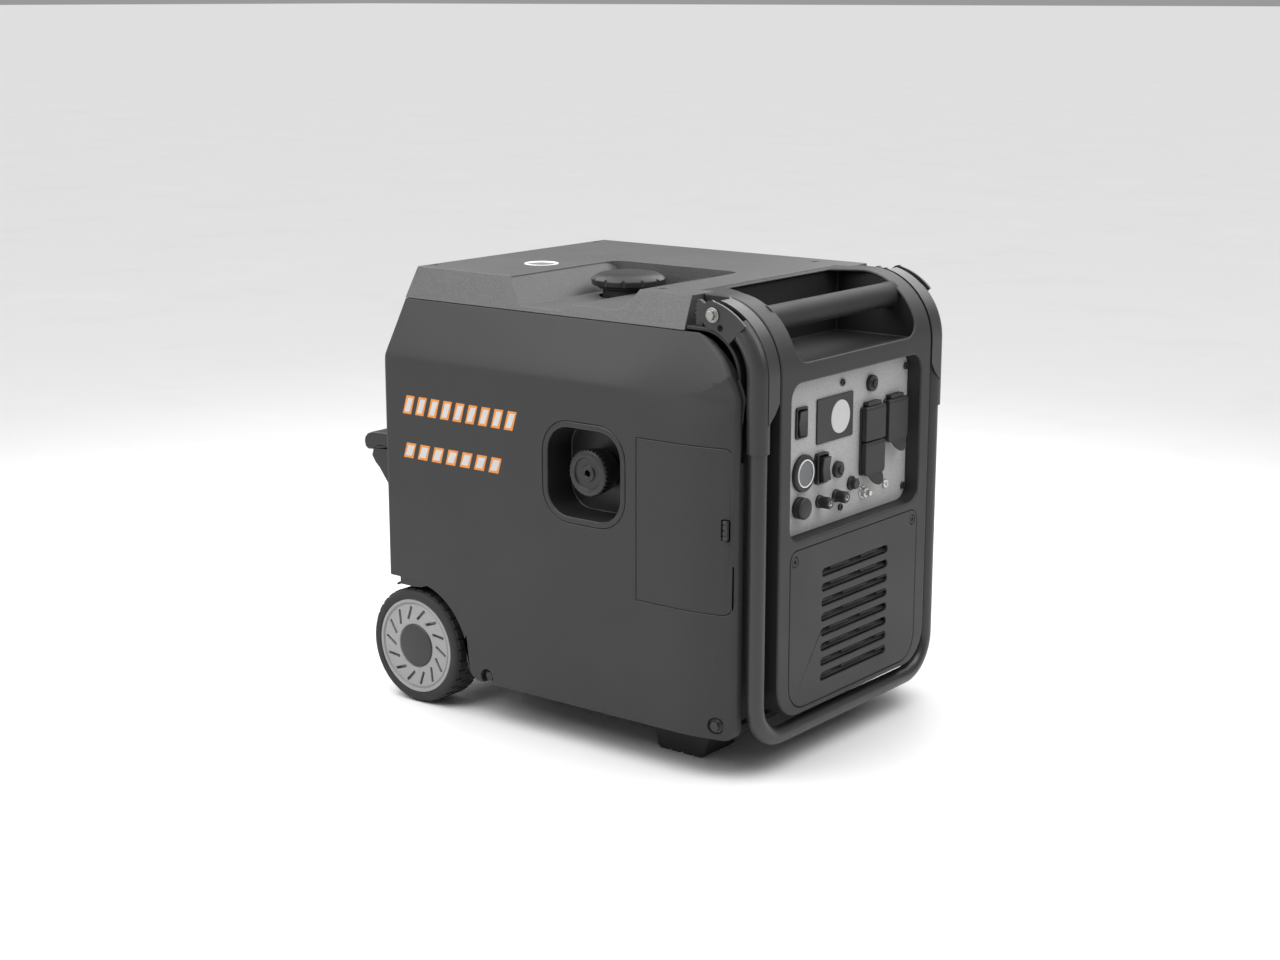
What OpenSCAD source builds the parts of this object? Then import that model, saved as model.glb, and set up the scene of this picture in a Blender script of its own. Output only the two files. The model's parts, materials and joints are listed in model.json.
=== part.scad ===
// Closed-case inverter generator on two wheels, with a folding pull handle.
// +X is the control panel end, +Z is up, the origin is on the floor in the middle of its outline.

/* [Case] */
// Half width over the side covers
half_w = 210; // [208:0.5:212]
// Height of the flat top
top_z = 518; // [516:0.5:520]
// Half width of the flat top
top_half_w = 172; // [170:0.5:175]
// Height at which the sides start to lean inwards
crease_z = 417; // [412:1:420]
// Height of the seam under the top cover
seam_z = 482; // [480:0.5:483]
// Underside of the covers
base_z = 47; // [46:0.5:48]
// Distance from the middle to the rear plane of the case
rear_len = 235.5; // [235:0.5:236]
// Distance from the middle to the front cover's face
front_len = 285.5; // [285:0.5:286]
// Wall thickness of the mouldings
wall = 3; // [2.5:0.5:3]

/* [Front] */
// Radius over which the front cover bends into the top
bend_r = 80.5; // [80:0.5:81]
// Half width of the front cover
front_half_w = 152; // [150:0.5:152]
// Lowest point of the front cover
front_low_z = 60; // [60:0.5:64]
// Depth of the control panel below the front face
panel_depth = 18; // [16:0.5:18]
// Number of cooling slots in the vent panel
vent_slots = 8; // [5:1:8]

/* [Pull handle] */
// Radius of the handle tube
tube_r = 10; // [9:0.5:10]
// Distance from the middle to each leg of the handle
leg_y = 175; // [174:0.5:176]
// Height of the handle's bottom bar
bar_height = 40; // [39:0.5:41]
// Bend radius of the handle's lower corners
tube_bend_r = 45; // [40:1:50]
// Radius of the pivot bolts
pivot_r = 5; // [4.5:0.5:5]

/* [Wheels] */
// Wheel radius
wheel_r = 70; // [69:0.5:71]
// Wheel width
wheel_w = 48; // [46:1:48]
// Rim radius
rim_r = 57; // [55:1:58]
// Axle radius
axle_r = 8; // [7:0.5:9]
// Number of swept slots in the rim
rim_slots = 14; // [10:1:16]

/* [Starter] */
// Radius of the pull grip
grip_r = 26.5; // [24:0.5:27]
// Radius of the rope groove in the starter reel
reel_r = 60; // [58:1:60]
// Rope radius
rope_r = 2; // [1.5:0.25:2.25]

/* [Fuel cap] */
// Radius of the ribbed cap
cap_r = 43; // [41:0.5:44]
// Number of ribs round the cap
cap_ribs = 12; // [8:1:16]

/* [Hidden] */

$fn = 64;
seam = 0.3;                                   // half the visible gap between two covers
fit = 0.06;                                   // radial running clearance
body_dark = "#454545";
body_black = "#1b1b1b";
plate_grey = "#b4b4b4";
steel = "#c9c9c9";

// Case
rear_x = -rear_len;
front_x = front_len;
slope = (half_w - top_half_w) / (top_z - crease_z);   // lean of the sides above the crease
seam_half_w = half_w - slope * (seam_z - crease_z);
rear_slope = 23.5 / (top_z - crease_z);
cover_split_y = 184;                          // rear cover ends and side cover flanges begin here
side_curve_x = 187;                           // the sides start to curve inwards here
side_front_x = 262;
side_front_y = 197;
side_curve_r = (pow(side_front_x - side_curve_x, 2) + pow(half_w - side_front_y, 2))
    / (2 * (half_w - side_front_y));
side_arc = [180, 405];
side_arc_r = 80;
// Front
bend_x = front_x - bend_r;
bend_z = top_z - bend_r;
wall_depth = 30;                              // depth of the front cover's side walls
bulk_depth = 30.5;                            // front face of the bulkhead behind the front face
plate_x = front_x - panel_depth;
panel_half_w = 132;
panel_low_z = 255;
panel_high_z = 427;
vent_half_w = 130;
vent_low_z = 67;
vent_high_z = 245;
seam_x_outer = 184;                           // seam between top and front cover, beside the well
seam_x_inner = 165;
seam_jog_y = 133;
well_half_w = 126;
well_low_z = 443.5;
opening_half_w = 122;
opening_low_z = 448;
opening_rear_x = 178;
// Handle
pivot = [222, 502];
tube_x = front_x - wall - tube_r - 0.2;
sleeve_r = tube_r + 2.4;
arm_out_y = leg_y + sleeve_r;
arm_in_y = 155;
arm_low_z = 360;
arm_step_z = 412;
pivot_plate_r = 15.5;
tube_top_z = 425;
// Wheels
axle_x = -195.4;
arch = [axle_x + 0.8, 66.8];
arch_r = 83.9;
wheel_in_y = half_w - wheel_w;
// Starter
recoil = [65.5, 315];
grip_face_y = -203;
recess_floor_y = -168;
reel_y = 25;
reel_z = recoil[1] - reel_r;
// Fuel
cap = [-4, -41];
notch_floor_z = 487.5;
notch_step_z = 494.5;
cap_low_z = 497;
cap_high_z = 515;
gauge = [-115, -65];
// Access door
door_x0 = 138.4;
door_x1 = 258.6;
door_z0 = 186;
door_z1 = 366;
latch_x = 250;
latch_z = 279;
// Exhaust
tail_y = 85;
tail_z = 185;

// ---- outlines ----
// Points of an arc about c from angle a0 to a1.
function arc(c, r, a0, a1, n = 10) =
    [for (i = [0:n]) let (a = a0 + (a1 - a0) * i / n) c + r * [cos(a), sin(a)]];
// Rectangle with rounded corners: radius r_low on the lower two and r_high on the upper two.
function rounded(p0, p1, r_low, r_high) = concat(
    arc([p1[0] - r_low, p0[1] + r_low], r_low, -90, 0, 6),
    arc([p1[0] - r_high, p1[1] - r_high], r_high, 0, 90, 6),
    arc([p0[0] + r_high, p1[1] - r_high], r_high, 90, 180, 6),
    arc([p0[0] + r_low, p0[1] + r_low], r_low, 180, 270, 6));
function centred(c, w, h, r) = rounded(c - [w, h] / 2, c + [w, h] / 2, r, r);

// ---- extrusions ----
// A shape drawn in X and Z, from y0 to y1.
module xz(y0, y1) translate([0, y1, 0]) rotate([90, 0, 0]) linear_extrude(y1 - y0) children();
// A shape drawn in Y and Z, from x0 to x1.
module yz(x0, x1) translate([x0, 0, 0]) rotate([90, 0, 90]) linear_extrude(x1 - x0) children();
// A shape drawn in X and Y, from z0 to z1.
module xy(z0, z1) translate([0, 0, z0]) linear_extrude(z1 - z0) children();
// Round bars along each axis, with their place given across it.
module bar_x(y, z, r, x0, x1) translate([x0, y, z]) rotate([0, 90, 0]) cylinder(r = r, h = x1 - x0);
module bar_y(x, z, r, y0, y1) translate([x, y1, z]) rotate([90, 0, 0]) cylinder(r = r, h = y1 - y0);
module post(x, y, r, z0, z1) translate([x, y, z0]) cylinder(r = r, h = z1 - z0);
module block(p0, p1) translate(p0) cube(p1 - p0);
module both_sides() { children(); mirror([0, 1, 0]) children(); }

// ---- side covers ----
// Outline of the left side cover seen from the side, drawn in by t at its free edges.
function side_outline(t) = concat(
    [[rear_x + t, 152 + t], [rear_x + t, crease_z],
        [rear_x + t + rear_slope * (seam_z - crease_z), seam_z - seam]],
    arc(side_arc, side_arc_r - t, asin((seam_z - seam - side_arc[1]) / (side_arc_r - t)), 0, 12),
    [[side_front_x - t, 372]],
    arc([side_front_x - 12, base_z + 12], 12 - t, 0, -90, 4),
    arc([arch[0] + arch_r + 20, base_z + 20], 20 - t, 270, 180, 5),
    arc(arch, arch_r + t, 0, 102, 16),
    [[-212 + t, 152 + t]]);
module side_block(t) intersection() {
    xz(-half_w - 5, -cover_split_y - 0.5) polygon(side_outline(t));
    yz(rear_x - 5, front_x) polygon([[-half_w + t, 0], [-half_w + t, crease_z],
        [-half_w + t + slope * (top_z - crease_z), top_z], [0, top_z], [0, 0]]);
    xy(0, top_z) polygon(concat([[rear_x - 5, 0], [rear_x - 5, -half_w + t]],
        arc([side_curve_x, side_curve_r - half_w], side_curve_r - t, -90,
            asin((side_front_x - side_curve_x) / side_curve_r) - 90, 10),
        [[side_front_x + 5, -side_front_y + t + 1.8], [side_front_x + 5, 0]]));
}
module side_skin() difference() {
    side_block(0);
    side_block(wall);
    block([250, -arm_out_y - 0.6, 350], [front_x, 0, seam_z]);
}
function door_outline(g) = let (p0 = [door_x0 + g, door_z0 + g], p1 = [door_x1 - g, door_z1 - g],
        r = 12 - g) concat([p0], arc([p1[0] - r, p0[1] + r], r, -90, 0, 5),
    arc([p1[0] - r, p1[1] - r], r, 0, 90, 5), [[p0[0], p1[1]]]);
module bolt_pockets() for (p = [[-80.7, 54.6], [241, 62.6]]) {
    bar_y(p[0], p[1], 9, -half_w - 1, -half_w + 9);
    bar_y(p[0], p[1], 3.3, -half_w + 8, -half_w + 14);
}
module bolt_cups() for (p = [[-80.7, 54.6], [241, 62.6]])
    intersection() {
        bar_y(p[0], p[1], 11, -half_w + 1, -half_w + 11);
        side_block(0.01);
    }

module left_side_cover() color(body_dark) difference() {
    union() { side_skin(); bolt_cups(); }
    bolt_pockets();
    xz(-half_w - 1, -190) polygon(centred(recoil, 117, 115, 37));
    xz(-half_w - 1, -cover_split_y) polygon(door_outline(0));
}
module right_side_cover() color(body_dark) mirror([0, 1, 0]) difference() {
    union() { side_skin(); bolt_cups(); }
    bolt_pockets();
    for (i = [0:7]) xz(-half_w - 1, -190)
        polygon(centred([-20, 120 + 16 * i], 150, 7, 3.4));
}
module access_door() color(body_dark) difference() {
    intersection() {
        side_block(0);
        xz(-half_w - 1, -cover_split_y) polygon(door_outline(0.5));
    }
    side_block(wall);
    xz(-half_w - 1, -cover_split_y) polygon(centred([latch_x, latch_z], 9, 23, 1.5));
}
module door_latch() color(body_black) difference() {
    xz(-203.5, -192) polygon(centred([latch_x + 0.9, latch_z], 5.8, 21.6, 1.2));
    for (dz = [-6, 0, 6]) block([latch_x - 4, -204, latch_z + dz - 1], [latch_x + 5, -202.4, latch_z + dz + 1]);
}

// ---- top cover ----
module top_block(t) intersection() {
    xz(-half_w, half_w) polygon([[rear_x + t + rear_slope * (seam_z - crease_z), seam_z + seam - 5 * t],
        [rear_x + t + rear_slope * (top_z - crease_z), top_z - t],
        [seam_x_outer - t, top_z - t], [seam_x_outer - t, seam_z + seam - 5 * t]]);
    yz(rear_x, front_x) polygon([[-seam_half_w + t, seam_z + seam - 5 * t], [-top_half_w + t, top_z - t],
        [top_half_w - t, top_z - t], [seam_half_w - t, seam_z + seam - 5 * t]]);
    xy(0, top_z + 1) polygon([[rear_x, -half_w], [seam_x_outer, -half_w],
        [seam_x_outer, -seam_jog_y - t], [seam_x_inner - seam - t, -seam_jog_y - t],
        [seam_x_inner - seam - t, seam_jog_y + t], [seam_x_outer, seam_jog_y + t],
        [seam_x_outer, half_w], [rear_x, half_w]]);
}
// Sunken pocket for the fuel cap, open at the left side, drawn out by t.
module cap_pocket(t) intersection() {
    xz(-half_w, 40) polygon([[-70 - t, top_z + 1], [-46 - t, notch_floor_z - t],
        [13.5 + t, notch_floor_z - t], [25.6 + t, notch_step_z - t], [89 + t, notch_step_z - t],
        [102 + t, 500.5 - t], [115 + t, top_z + 1]]);
    xy(notch_floor_z - 5, top_z + 1) polygon(concat([[-80, -half_w]],
        [[-68 - t, -half_w], [-68 - t, 0]],
        arc([-48, -4], 20 + t, 180, 90, 5), arc([97, -2], 18 + t, 90, 0, 5),
        [[115 + t, -half_w]]));
}
module top_screw_places() for (x = [-205, 127], y = [-148, 148]) translate([x, y, 0]) children();
module top_cover() color("#565656") difference() {
    top_block(0);
    difference() {
        top_block(wall);
        cap_pocket(wall);
        top_screw_places() cylinder(r = 9, h = 600);
    }
    cap_pocket(0);
    post(cap[0], cap[1], 34, 400, 500);
    post(gauge[0], gauge[1], 20.6, 500, 520);
    top_screw_places() translate([0, 0, top_z - 3]) cylinder(r = 5.6, h = 5);
}

// ---- rear ----
module rear_cover() color("#3a3a3a") difference() {
    xz(-cover_split_y, cover_split_y) polygon([[rear_x, 58], [rear_x, crease_z],
        [rear_x + rear_slope * (seam_z - crease_z), seam_z - seam],
        [rear_x + rear_slope * (seam_z - crease_z) + wall, seam_z - seam],
        [rear_x + wall, crease_z - 0.4], [rear_x + wall, 58]]);
    both_sides() block([rear_x - 1, 154, 0], [-200, 200, 152]);
    bar_x(tail_y, tail_z, 34, rear_x - 1, rear_x + 5);
    for (i = [0:8]) yz(rear_x - 1, rear_x + 5) polygon(centred([-50, 100 + 14 * i], 150, 7, 3.4));
    for (i = [0:4]) yz(rear_x - 1, rear_x + 5) polygon(centred([0, 345 + 14 * i], 260, 7, 3.4));
}
lip = [[rear_x, 319], [-272, 318], [-280, 315], [-284.5, 310], [-285.5, 305], [-284, 299], [-280, 296],
    [-274, 296.5], [-268, 300], [-262, 303], [rear_x, 303]];
module rear_handle() color(body_black) {
    xz(-195, 195) polygon(lip);
    both_sides() for (y = [60, 183]) xz(y, y + 12)
        polygon([[rear_x, 303], [-268, 300], [-274, 290], [-268, 281], [-262, 276], [rear_x, 242]]);
}

// ---- front ----
// Section of the front cover, drawn in by t and d deep, down to z0.
function front_band(t, d, z0, x0) = concat([[x0, top_z - t]],
    arc([bend_x, bend_z], bend_r - t, 90, 0, 16),
    [[front_x - t, z0], [front_x - d, z0]],
    arc([bend_x, bend_z], bend_r - d, 0, 90, 12), [[x0, top_z - d]]);
module handle_opening() intersection() {
    yz(opening_rear_x, front_x + 5)
        polygon(rounded([-opening_half_w, opening_low_z], [opening_half_w, 580], 20, 5));
    xy(opening_low_z - 1, top_z + 5) polygon([[opening_rear_x, -100], [215, -opening_half_w],
        [300, -opening_half_w], [300, opening_half_w], [215, opening_half_w], [opening_rear_x, 100]]);
}
module front_cover() color("#4c4c4c") difference() {
    union() {
        intersection() {
            difference() {
                xz(-front_half_w, front_half_w)
                    polygon(front_band(0, wall_depth, front_low_z, seam_x_inner));
                intersection() {
                    xz(-front_half_w + wall, front_half_w - wall)
                        polygon(front_band(wall, wall_depth + 10, front_low_z + wall, seam_x_inner - 5));
                    yz(0, 300) polygon(rounded([-front_half_w + wall, front_low_z + wall],
                        [front_half_w - wall, 600], 37, 5));
                }
                both_sides() block([seam_x_inner - 5, seam_jog_y, 400],
                    [seam_x_outer + 0.3, front_half_w + 5, top_z + 5]);
            }
            yz(0, 300) polygon(rounded([-front_half_w, front_low_z], [front_half_w, 600], 40, 5));
        }
        yz(plate_x - wall, front_x - 1) polygon(rounded([-panel_half_w - wall, panel_low_z - wall],
            [panel_half_w + wall, panel_high_z + wall], 21, 21));
    }
    yz(plate_x - wall - 1, front_x + 1) polygon(rounded([-panel_half_w, panel_low_z],
        [panel_half_w, panel_high_z], 18, 18));
    yz(front_x - 10, front_x + 1) polygon(rounded([-vent_half_w - 0.5, vent_low_z - 0.5],
        [vent_half_w + 0.5, vent_high_z + 0.5], 30, 12));
    handle_opening();
}
module vent_panel() color("#484848") difference() {
    yz(front_x - 4, front_x) polygon(rounded([-vent_half_w, vent_low_z],
        [vent_half_w, vent_high_z], 29.5, 11.5));
    for (i = [0:vent_slots - 1]) yz(front_x - 5, front_x + 1)
        polygon(centred([0, 91 + 17 * i], 136, 9.5, 4.6));
    for (y = [-121, 121]) bar_x(y, 233.5, 6, front_x - 2.5, front_x + 1);
}
module hand_well() color("#141414") difference() {
    intersection() {
        block([170, -well_half_w - wall, well_low_z - wall], [front_x - wall - 0.3,
            well_half_w + wall, top_z - wall - 0.3]);
        xz(-200, 200) polygon(concat([[100, top_z - wall - 0.3]],
            arc([bend_x, bend_z], bend_r - wall - 0.3, 90, 0, 16), [[front_x - wall - 0.3, 0], [100, 0]]));
    }
    block([170 + wall, -well_half_w, well_low_z], [front_x - 2 * wall, well_half_w, 600]);
    block([170 + wall, -opening_half_w, opening_low_z], [front_x + 1, opening_half_w, 600]);
}
function oval(c, a, b, n = 32) = [for (i = [0:n - 1]) c + [a * cos(360 * i / n), b * sin(360 * i / n)]];
// Grip bar with a slimmer core that runs on into the walls of the well.
module carry_grip() color(body_black) {
    xz(-opening_half_w + 0.3, opening_half_w - 0.3) polygon(oval([243, 491.5], 13, 14));
    xz(-well_half_w, well_half_w) polygon(oval([241, 490], 9, 10));
}

module front_bulkhead() color("#161616") {
    difference() {
        union() {
            xz(-cover_split_y + 0.5, cover_split_y - 0.5) polygon(front_band(bulk_depth,
                bulk_depth + 4, 64, seam_x_outer + 1));
            both_sides() difference() {
                union() {
                    bar_y(pivot[0], pivot[1], 9.5, 160, 172);
                    xz(160, 172) polygon([[214, 484], [230, 482], [228, pivot[1]], [216, pivot[1]]]);
                }
                bar_y(pivot[0], pivot[1], pivot_r, 150, 180);
            }
        }
        block([150, -well_half_w - 4, well_low_z - 6], [300, well_half_w + 4, 600]);
        for (z = [110, 150, 190]) yz(240, 270) polygon(centred([0, z], 180, 16, 5));
    }
}
module control_plate() color(plate_grey) difference() {
    yz(plate_x - wall, plate_x) polygon(rounded([-panel_half_w + 0.3, panel_low_z + 0.3],
        [panel_half_w - 0.3, panel_high_z - 0.3], 17.7, 17.7));
    for (c = rocker_places) yz(plate_x - 5, plate_x + 1) polygon(centred(c, 17, 30, 1));
    bar_x(start_place[0], start_place[1], 16, plate_x - 5, plate_x + 1);
    for (c = reset_places) bar_x(c[0], c[1], 4.6, plate_x - 5, plate_x + 1);
}

// ---- control panel fittings, placed by [y, z] ----
rocker_places = [[-88.5, 378.5], [-50, 322.5]];
rocker_proud = [5.2, 11.4];
start_place = [-83.5, 322.3];
reset_places = [[51, 402], [-15.5, 314.8]];
display_c = [-22.5, 374];
display_w = 72;
display_h = 50;
outlet_w = 41;
duplex_y = 50.5;
duplex_z = [298.5, 377.5];
duplex_split_z = 338;
single_y = 98.6;
single_z = [329.5, 379];
flap_x = plate_x + 6.6;                       // hinge line of the outlet flaps
flap_r = 3.1;
dc_place = [-91.2, 285.5];
fuse_place = [14, 293.8];
socket_places = [[-50, 284.6], [-17, 285]];
plate_screw_places = [[-7.8, 411], [125.5, 411], [125.5, 271], [-7.5, 270.5]];
stud_place = [38.5, 279];
earth_screw_place = [86.5, 280];

module display_bezel() color(body_black) difference() {
    yz(plate_x, plate_x + 2) polygon(centred(display_c, display_w, display_h, 2));
    bar_x(display_c[0] + 10, display_c[1], 19, plate_x + 0.8, plate_x + 3);
}
module display_face() color("#c4c4c4")
    bar_x(display_c[0] + 10, display_c[1], 18.7, plate_x + 0.8, plate_x + 2.4);
module switch_bezels() color(body_black) {
    for (i = [0, 1]) difference() {
        yz(plate_x, plate_x + 0.5 * rocker_proud[i]) polygon(centred(rocker_places[i], 22, 34.5, 3));
        yz(plate_x - 1, plate_x + 9) polygon(centred(rocker_places[i], 16.8, 29.4, 1));
    }
    difference() {
        bar_x(start_place[0], start_place[1], 20.5, plate_x, plate_x + 4);
        bar_x(start_place[0], start_place[1], 16, plate_x - 1, plate_x + 5);
    }
    for (c = reset_places) difference() {
        bar_x(c[0], c[1], 9.3, plate_x, plate_x + 5);
        bar_x(c[0], c[1], 4.6, plate_x - 1, plate_x + 6);
    }
}
module start_button() color("#262626") bar_x(start_place[0], start_place[1], 15.6, plate_x - 5, plate_x + 5);
module reset_button(c) color("#161616") bar_x(c[0], c[1], 4.2, plate_x - 4, plate_x + 8);
module reset_button_upper() reset_button(reset_places[0]);
module reset_button_lower() reset_button(reset_places[1]);
// Switch rocker on its pin.
module rocker(c, proud) color("#202020") {
    xz(c[0] - 7.3, c[0] + 7.3) polygon([[plate_x - 3, c[1] - 12], [plate_x - 3, c[1] + 12],
        [plate_x + proud, c[1] + 13.5], [plate_x + proud - 1.8, c[1]], [plate_x + proud, c[1] - 13.5]]);
    bar_y(plate_x - 1, c[1], 1.2, c[0] - 8.2, c[0] + 8.2);
}
module economy_rocker() rocker(rocker_places[0], rocker_proud[0]);
module breaker_rocker() rocker(rocker_places[1], rocker_proud[1]);
module parallel_sockets() color("#1a1a1a") for (c = socket_places) difference() {
    union() {
        bar_x(c[0], c[1], 7.4, plate_x, plate_x + 4);
        bar_x(c[0], c[1], 6.6, plate_x + 3, plate_x + 16);
    }
    bar_x(c[0], c[1], 2, plate_x + 2, plate_x + 17);
}
module dc_socket() color(body_black) difference() {
    bar_x(dc_place[0], dc_place[1], 12, plate_x, plate_x + 5);
    bar_x(dc_place[0], dc_place[1], 9, plate_x + 1, plate_x + 6);
}
module dc_cap() color("#1e1e1e") {
    bar_x(dc_place[0], dc_place[1], 12, plate_x + 5.3, plate_x + 11.6);
    bar_x(dc_place[0], dc_place[1], 8.6, plate_x + 1.4, plate_x + 6);
}
module fuse_knob() color("#1e1e1e") {
    bar_x(fuse_place[0], fuse_place[1], 8, plate_x, plate_x + 3);
    yz(plate_x + 2, plate_x + 9) translate(fuse_place) circle(r = 6.6, $fn = 6);
}
// Socket plate with a round face, two blade slots and an earth hole for each socket height.
module outlet(y, z, faces) color(body_black) difference() {
    union() {
        yz(plate_x, plate_x + 2.6) polygon(centred([y, (z[0] + z[1]) / 2], outlet_w, z[1] - z[0], 4));
        for (f = faces) bar_x(y, f, 16, plate_x + 2, plate_x + 3.3);
    }
    for (f = faces) {
        for (dy = [-6.4, 6.4])
            block([plate_x + 1, y + dy - 1.1, f - 1], [plate_x + 6, y + dy + 1.1, f + 7.5]);
        bar_x(y, f - 7, 2.6, plate_x + 1, plate_x + 6);
    }
}
module duplex_outlet() outlet(duplex_y, duplex_z, [318, 358]);
module single_outlet() outlet(single_y, single_z, [354]);
tongue_len = 14.5;
// Sprung weather flap over a socket, hinged along its top edge, with a tongue slanting out below.
module outlet_flap(y, z0, z1, tongue_half_w = 0) color("#181818") {
    bar_y(flap_x, z1 - flap_r, flap_r, y - outlet_w / 2, y + outlet_w / 2);
    block([flap_x - flap_r, y - outlet_w / 2, z0], [flap_x + flap_r, y + outlet_w / 2, z1 - flap_r]);
    if (tongue_half_w > 0) translate([flap_x + flap_r - 1.5, y, z0 + 1.2]) rotate([0, 60, 0])
        xy(0, 1.4) polygon([for (i = [0:12]) [tongue_len * cos(15 * i - 90), tongue_half_w * sin(15 * i - 90)]]);
}
module duplex_flap_upper() outlet_flap(duplex_y, duplex_split_z + 0.8, duplex_z[1]);
module duplex_flap_lower() outlet_flap(duplex_y, duplex_z[0], duplex_split_z - 0.8, 13.5);
module single_flap() outlet_flap(single_y, single_z[0] + 0.5, single_z[1], 12.5);
module ground_terminal() color(steel) {
    bar_x(stud_place[0], stud_place[1], 7, plate_x, plate_x + 1.2);
    yz(plate_x + 1, plate_x + 6) translate(stud_place) circle(r = 5.8, $fn = 6);
    bar_x(stud_place[0], stud_place[1], 3, plate_x + 5, plate_x + 12);
    screw_head(earth_screw_place, 5, plate_x, 2.6);
}
// Pan head with a hexagon socket, standing on the face at x.
module screw_head(c, r, x, h) difference() {
    bar_x(c[0], c[1], r, x, x + h);
    yz(x + h - 1.6, x + h + 1) translate(c) circle(r = r * 0.5, $fn = 6);
}
module cover_screws() color("#303030") {
    for (c = plate_screw_places) screw_head(c, 4, plate_x, 2.4);
    for (y = [-121, 121]) screw_head([y, 233.5], 5.2, front_x - 2.5, 2.2);
    top_screw_places() translate([0, 0, top_z - 3]) difference() {
        cylinder(r = 5, h = 2.6);
        translate([0, 0, 1]) cylinder(r = 2.5, h = 3, $fn = 6);
    }
}

// ---- pull handle ----
// Tube: two legs, two bends and a bottom bar.
module handle_tube() color("#2c2c2c") {
    both_sides() {
        post(tube_x, leg_y, tube_r, bar_height + tube_bend_r, tube_top_z);
        translate([tube_x, leg_y - tube_bend_r, bar_height + tube_bend_r]) rotate([90, 0, 90])
            rotate([0, 0, -90]) rotate_extrude(angle = 90) translate([tube_bend_r, 0]) circle(r = tube_r);
    }
    bar_y(tube_x, bar_height, tube_r, -leg_y + tube_bend_r, leg_y - tube_bend_r);
}
// Arm: a rounded sleeve over the leg that follows the front bend, with a flat end round the pivot.
arm_end_a = 50;                               // where the sleeve ends, as an angle round the front bend
arm_in_r = norm(pivot - [0, pivot_plate_r] - [bend_x, bend_z]);
arm_in_a = atan2(pivot[1] - pivot_plate_r - bend_z, pivot[0] - bend_x);
// Side view of a cheek, from angle a0 round the bend up to the pivot.
function cheek(a0) = concat(arc([bend_x, bend_z], bend_r, a0, 77, 12),
    arc(pivot, pivot_plate_r, 95, 262, 10), arc([bend_x, bend_z], arm_in_r, arm_in_a, a0, 8));
arm_web = concat([[front_x, arm_low_z]], arc([bend_x, bend_z], bend_r, 0, 77, 14),
    arc([bend_x, bend_z], bend_r - wall, 77, 0, 14), [[front_x - wall, arm_low_z]]);
module left_arm() color("#262626") difference() {
    union() {
        post(tube_x, -leg_y, sleeve_r, arm_low_z, bend_z);
        translate([bend_x, -leg_y, bend_z]) rotate([90, 0, 0]) rotate_extrude(angle = arm_end_a)
            translate([tube_x - bend_x, 0]) circle(r = sleeve_r);
        xz(-arm_out_y, -arm_out_y + wall) polygon(cheek(arm_end_a - 6));
        xz(-arm_in_y - wall, -arm_in_y) polygon(cheek(0));
        intersection() {
            xz(-leg_y, -arm_in_y) polygon(arm_web);
            yz(150, 300) polygon([[-leg_y, 390], [-arm_in_y - 8, arm_step_z - 11], [-arm_in_y, arm_step_z],
                [-arm_in_y, 600], [-leg_y, 600]]);
        }
    }
    post(tube_x, -leg_y, tube_r + 0.05, arm_low_z - 1, tube_top_z + 0.2);
    bar_y(pivot[0], pivot[1], pivot_r + fit, -200, -150);
    bar_y(pivot[0] + 9.5, pivot[1] - 13, 3.5, -200, -180);
}
module right_arm() mirror([0, 1, 0]) left_arm();
module pivot_bolts() color(steel) both_sides() {
    bar_y(pivot[0], pivot[1], pivot_r, 154, arm_out_y + 2);
    bar_y(pivot[0], pivot[1], 8, arm_out_y + 0.3, arm_out_y + 1.8);
    xz(arm_out_y + 1.7, arm_out_y + 6.5) translate(pivot) circle(r = 5.2, $fn = 6);
}
// Toothed sector behind each pivot.
module lock_quadrants() color(steel) both_sides() {
    xz(174, 179) polygon(concat(arc(pivot, 18.5, 205, 150, 6),
        [for (i = [0:12]) pivot + (i % 2 == 0 ? 27 : 30) * [cos(150 + 55 * i / 12), sin(150 + 55 * i / 12)]]));
    block([194, 174, top_z - bulk_depth], [203, 179, 496]);
}

// ---- base, wheels and feet ----
module base_tray() color("#202020") difference() {
    union() {
        xy(base_z, base_z + 8) polygon([[-230, -154], [-108, -154], [-108, -cover_split_y],
            [248, -cover_split_y], [248, cover_split_y], [-108, cover_split_y], [-108, 154], [-230, 154]]);
        both_sides() {
            block([axle_x - 20, 138, base_z], [axle_x + 20, 152, 90]);
            intersection() {
                difference() {
                    bar_y(arch[0], arch[1], 82, 152, 202);
                    bar_y(arch[0], arch[1], 79, 155, 210);
                }
                block([-230, 152, base_z + 8], [0, 202, 160]);
            }
        }
        for (x = [-70, 40, 200]) block([x, -150, base_z + 7], [x + 5, 150, base_z + 12]);
    }
    bar_y(axle_x, wheel_r, axle_r, -200, 200);
}
module wheel_axle() color(steel) bar_y(axle_x, wheel_r, axle_r, -201, 201);
module rubber_feet() color("#121212") both_sides() difference() {
    xz(98, 155) polygon([[131, 0], [187, 0], [192, 4], [204, base_z], [120, base_z], [127, 4]]);
    for (x = [142, 158, 174]) block([x, 90, -1], [x + 4, 160, 1.5]);
}
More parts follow.
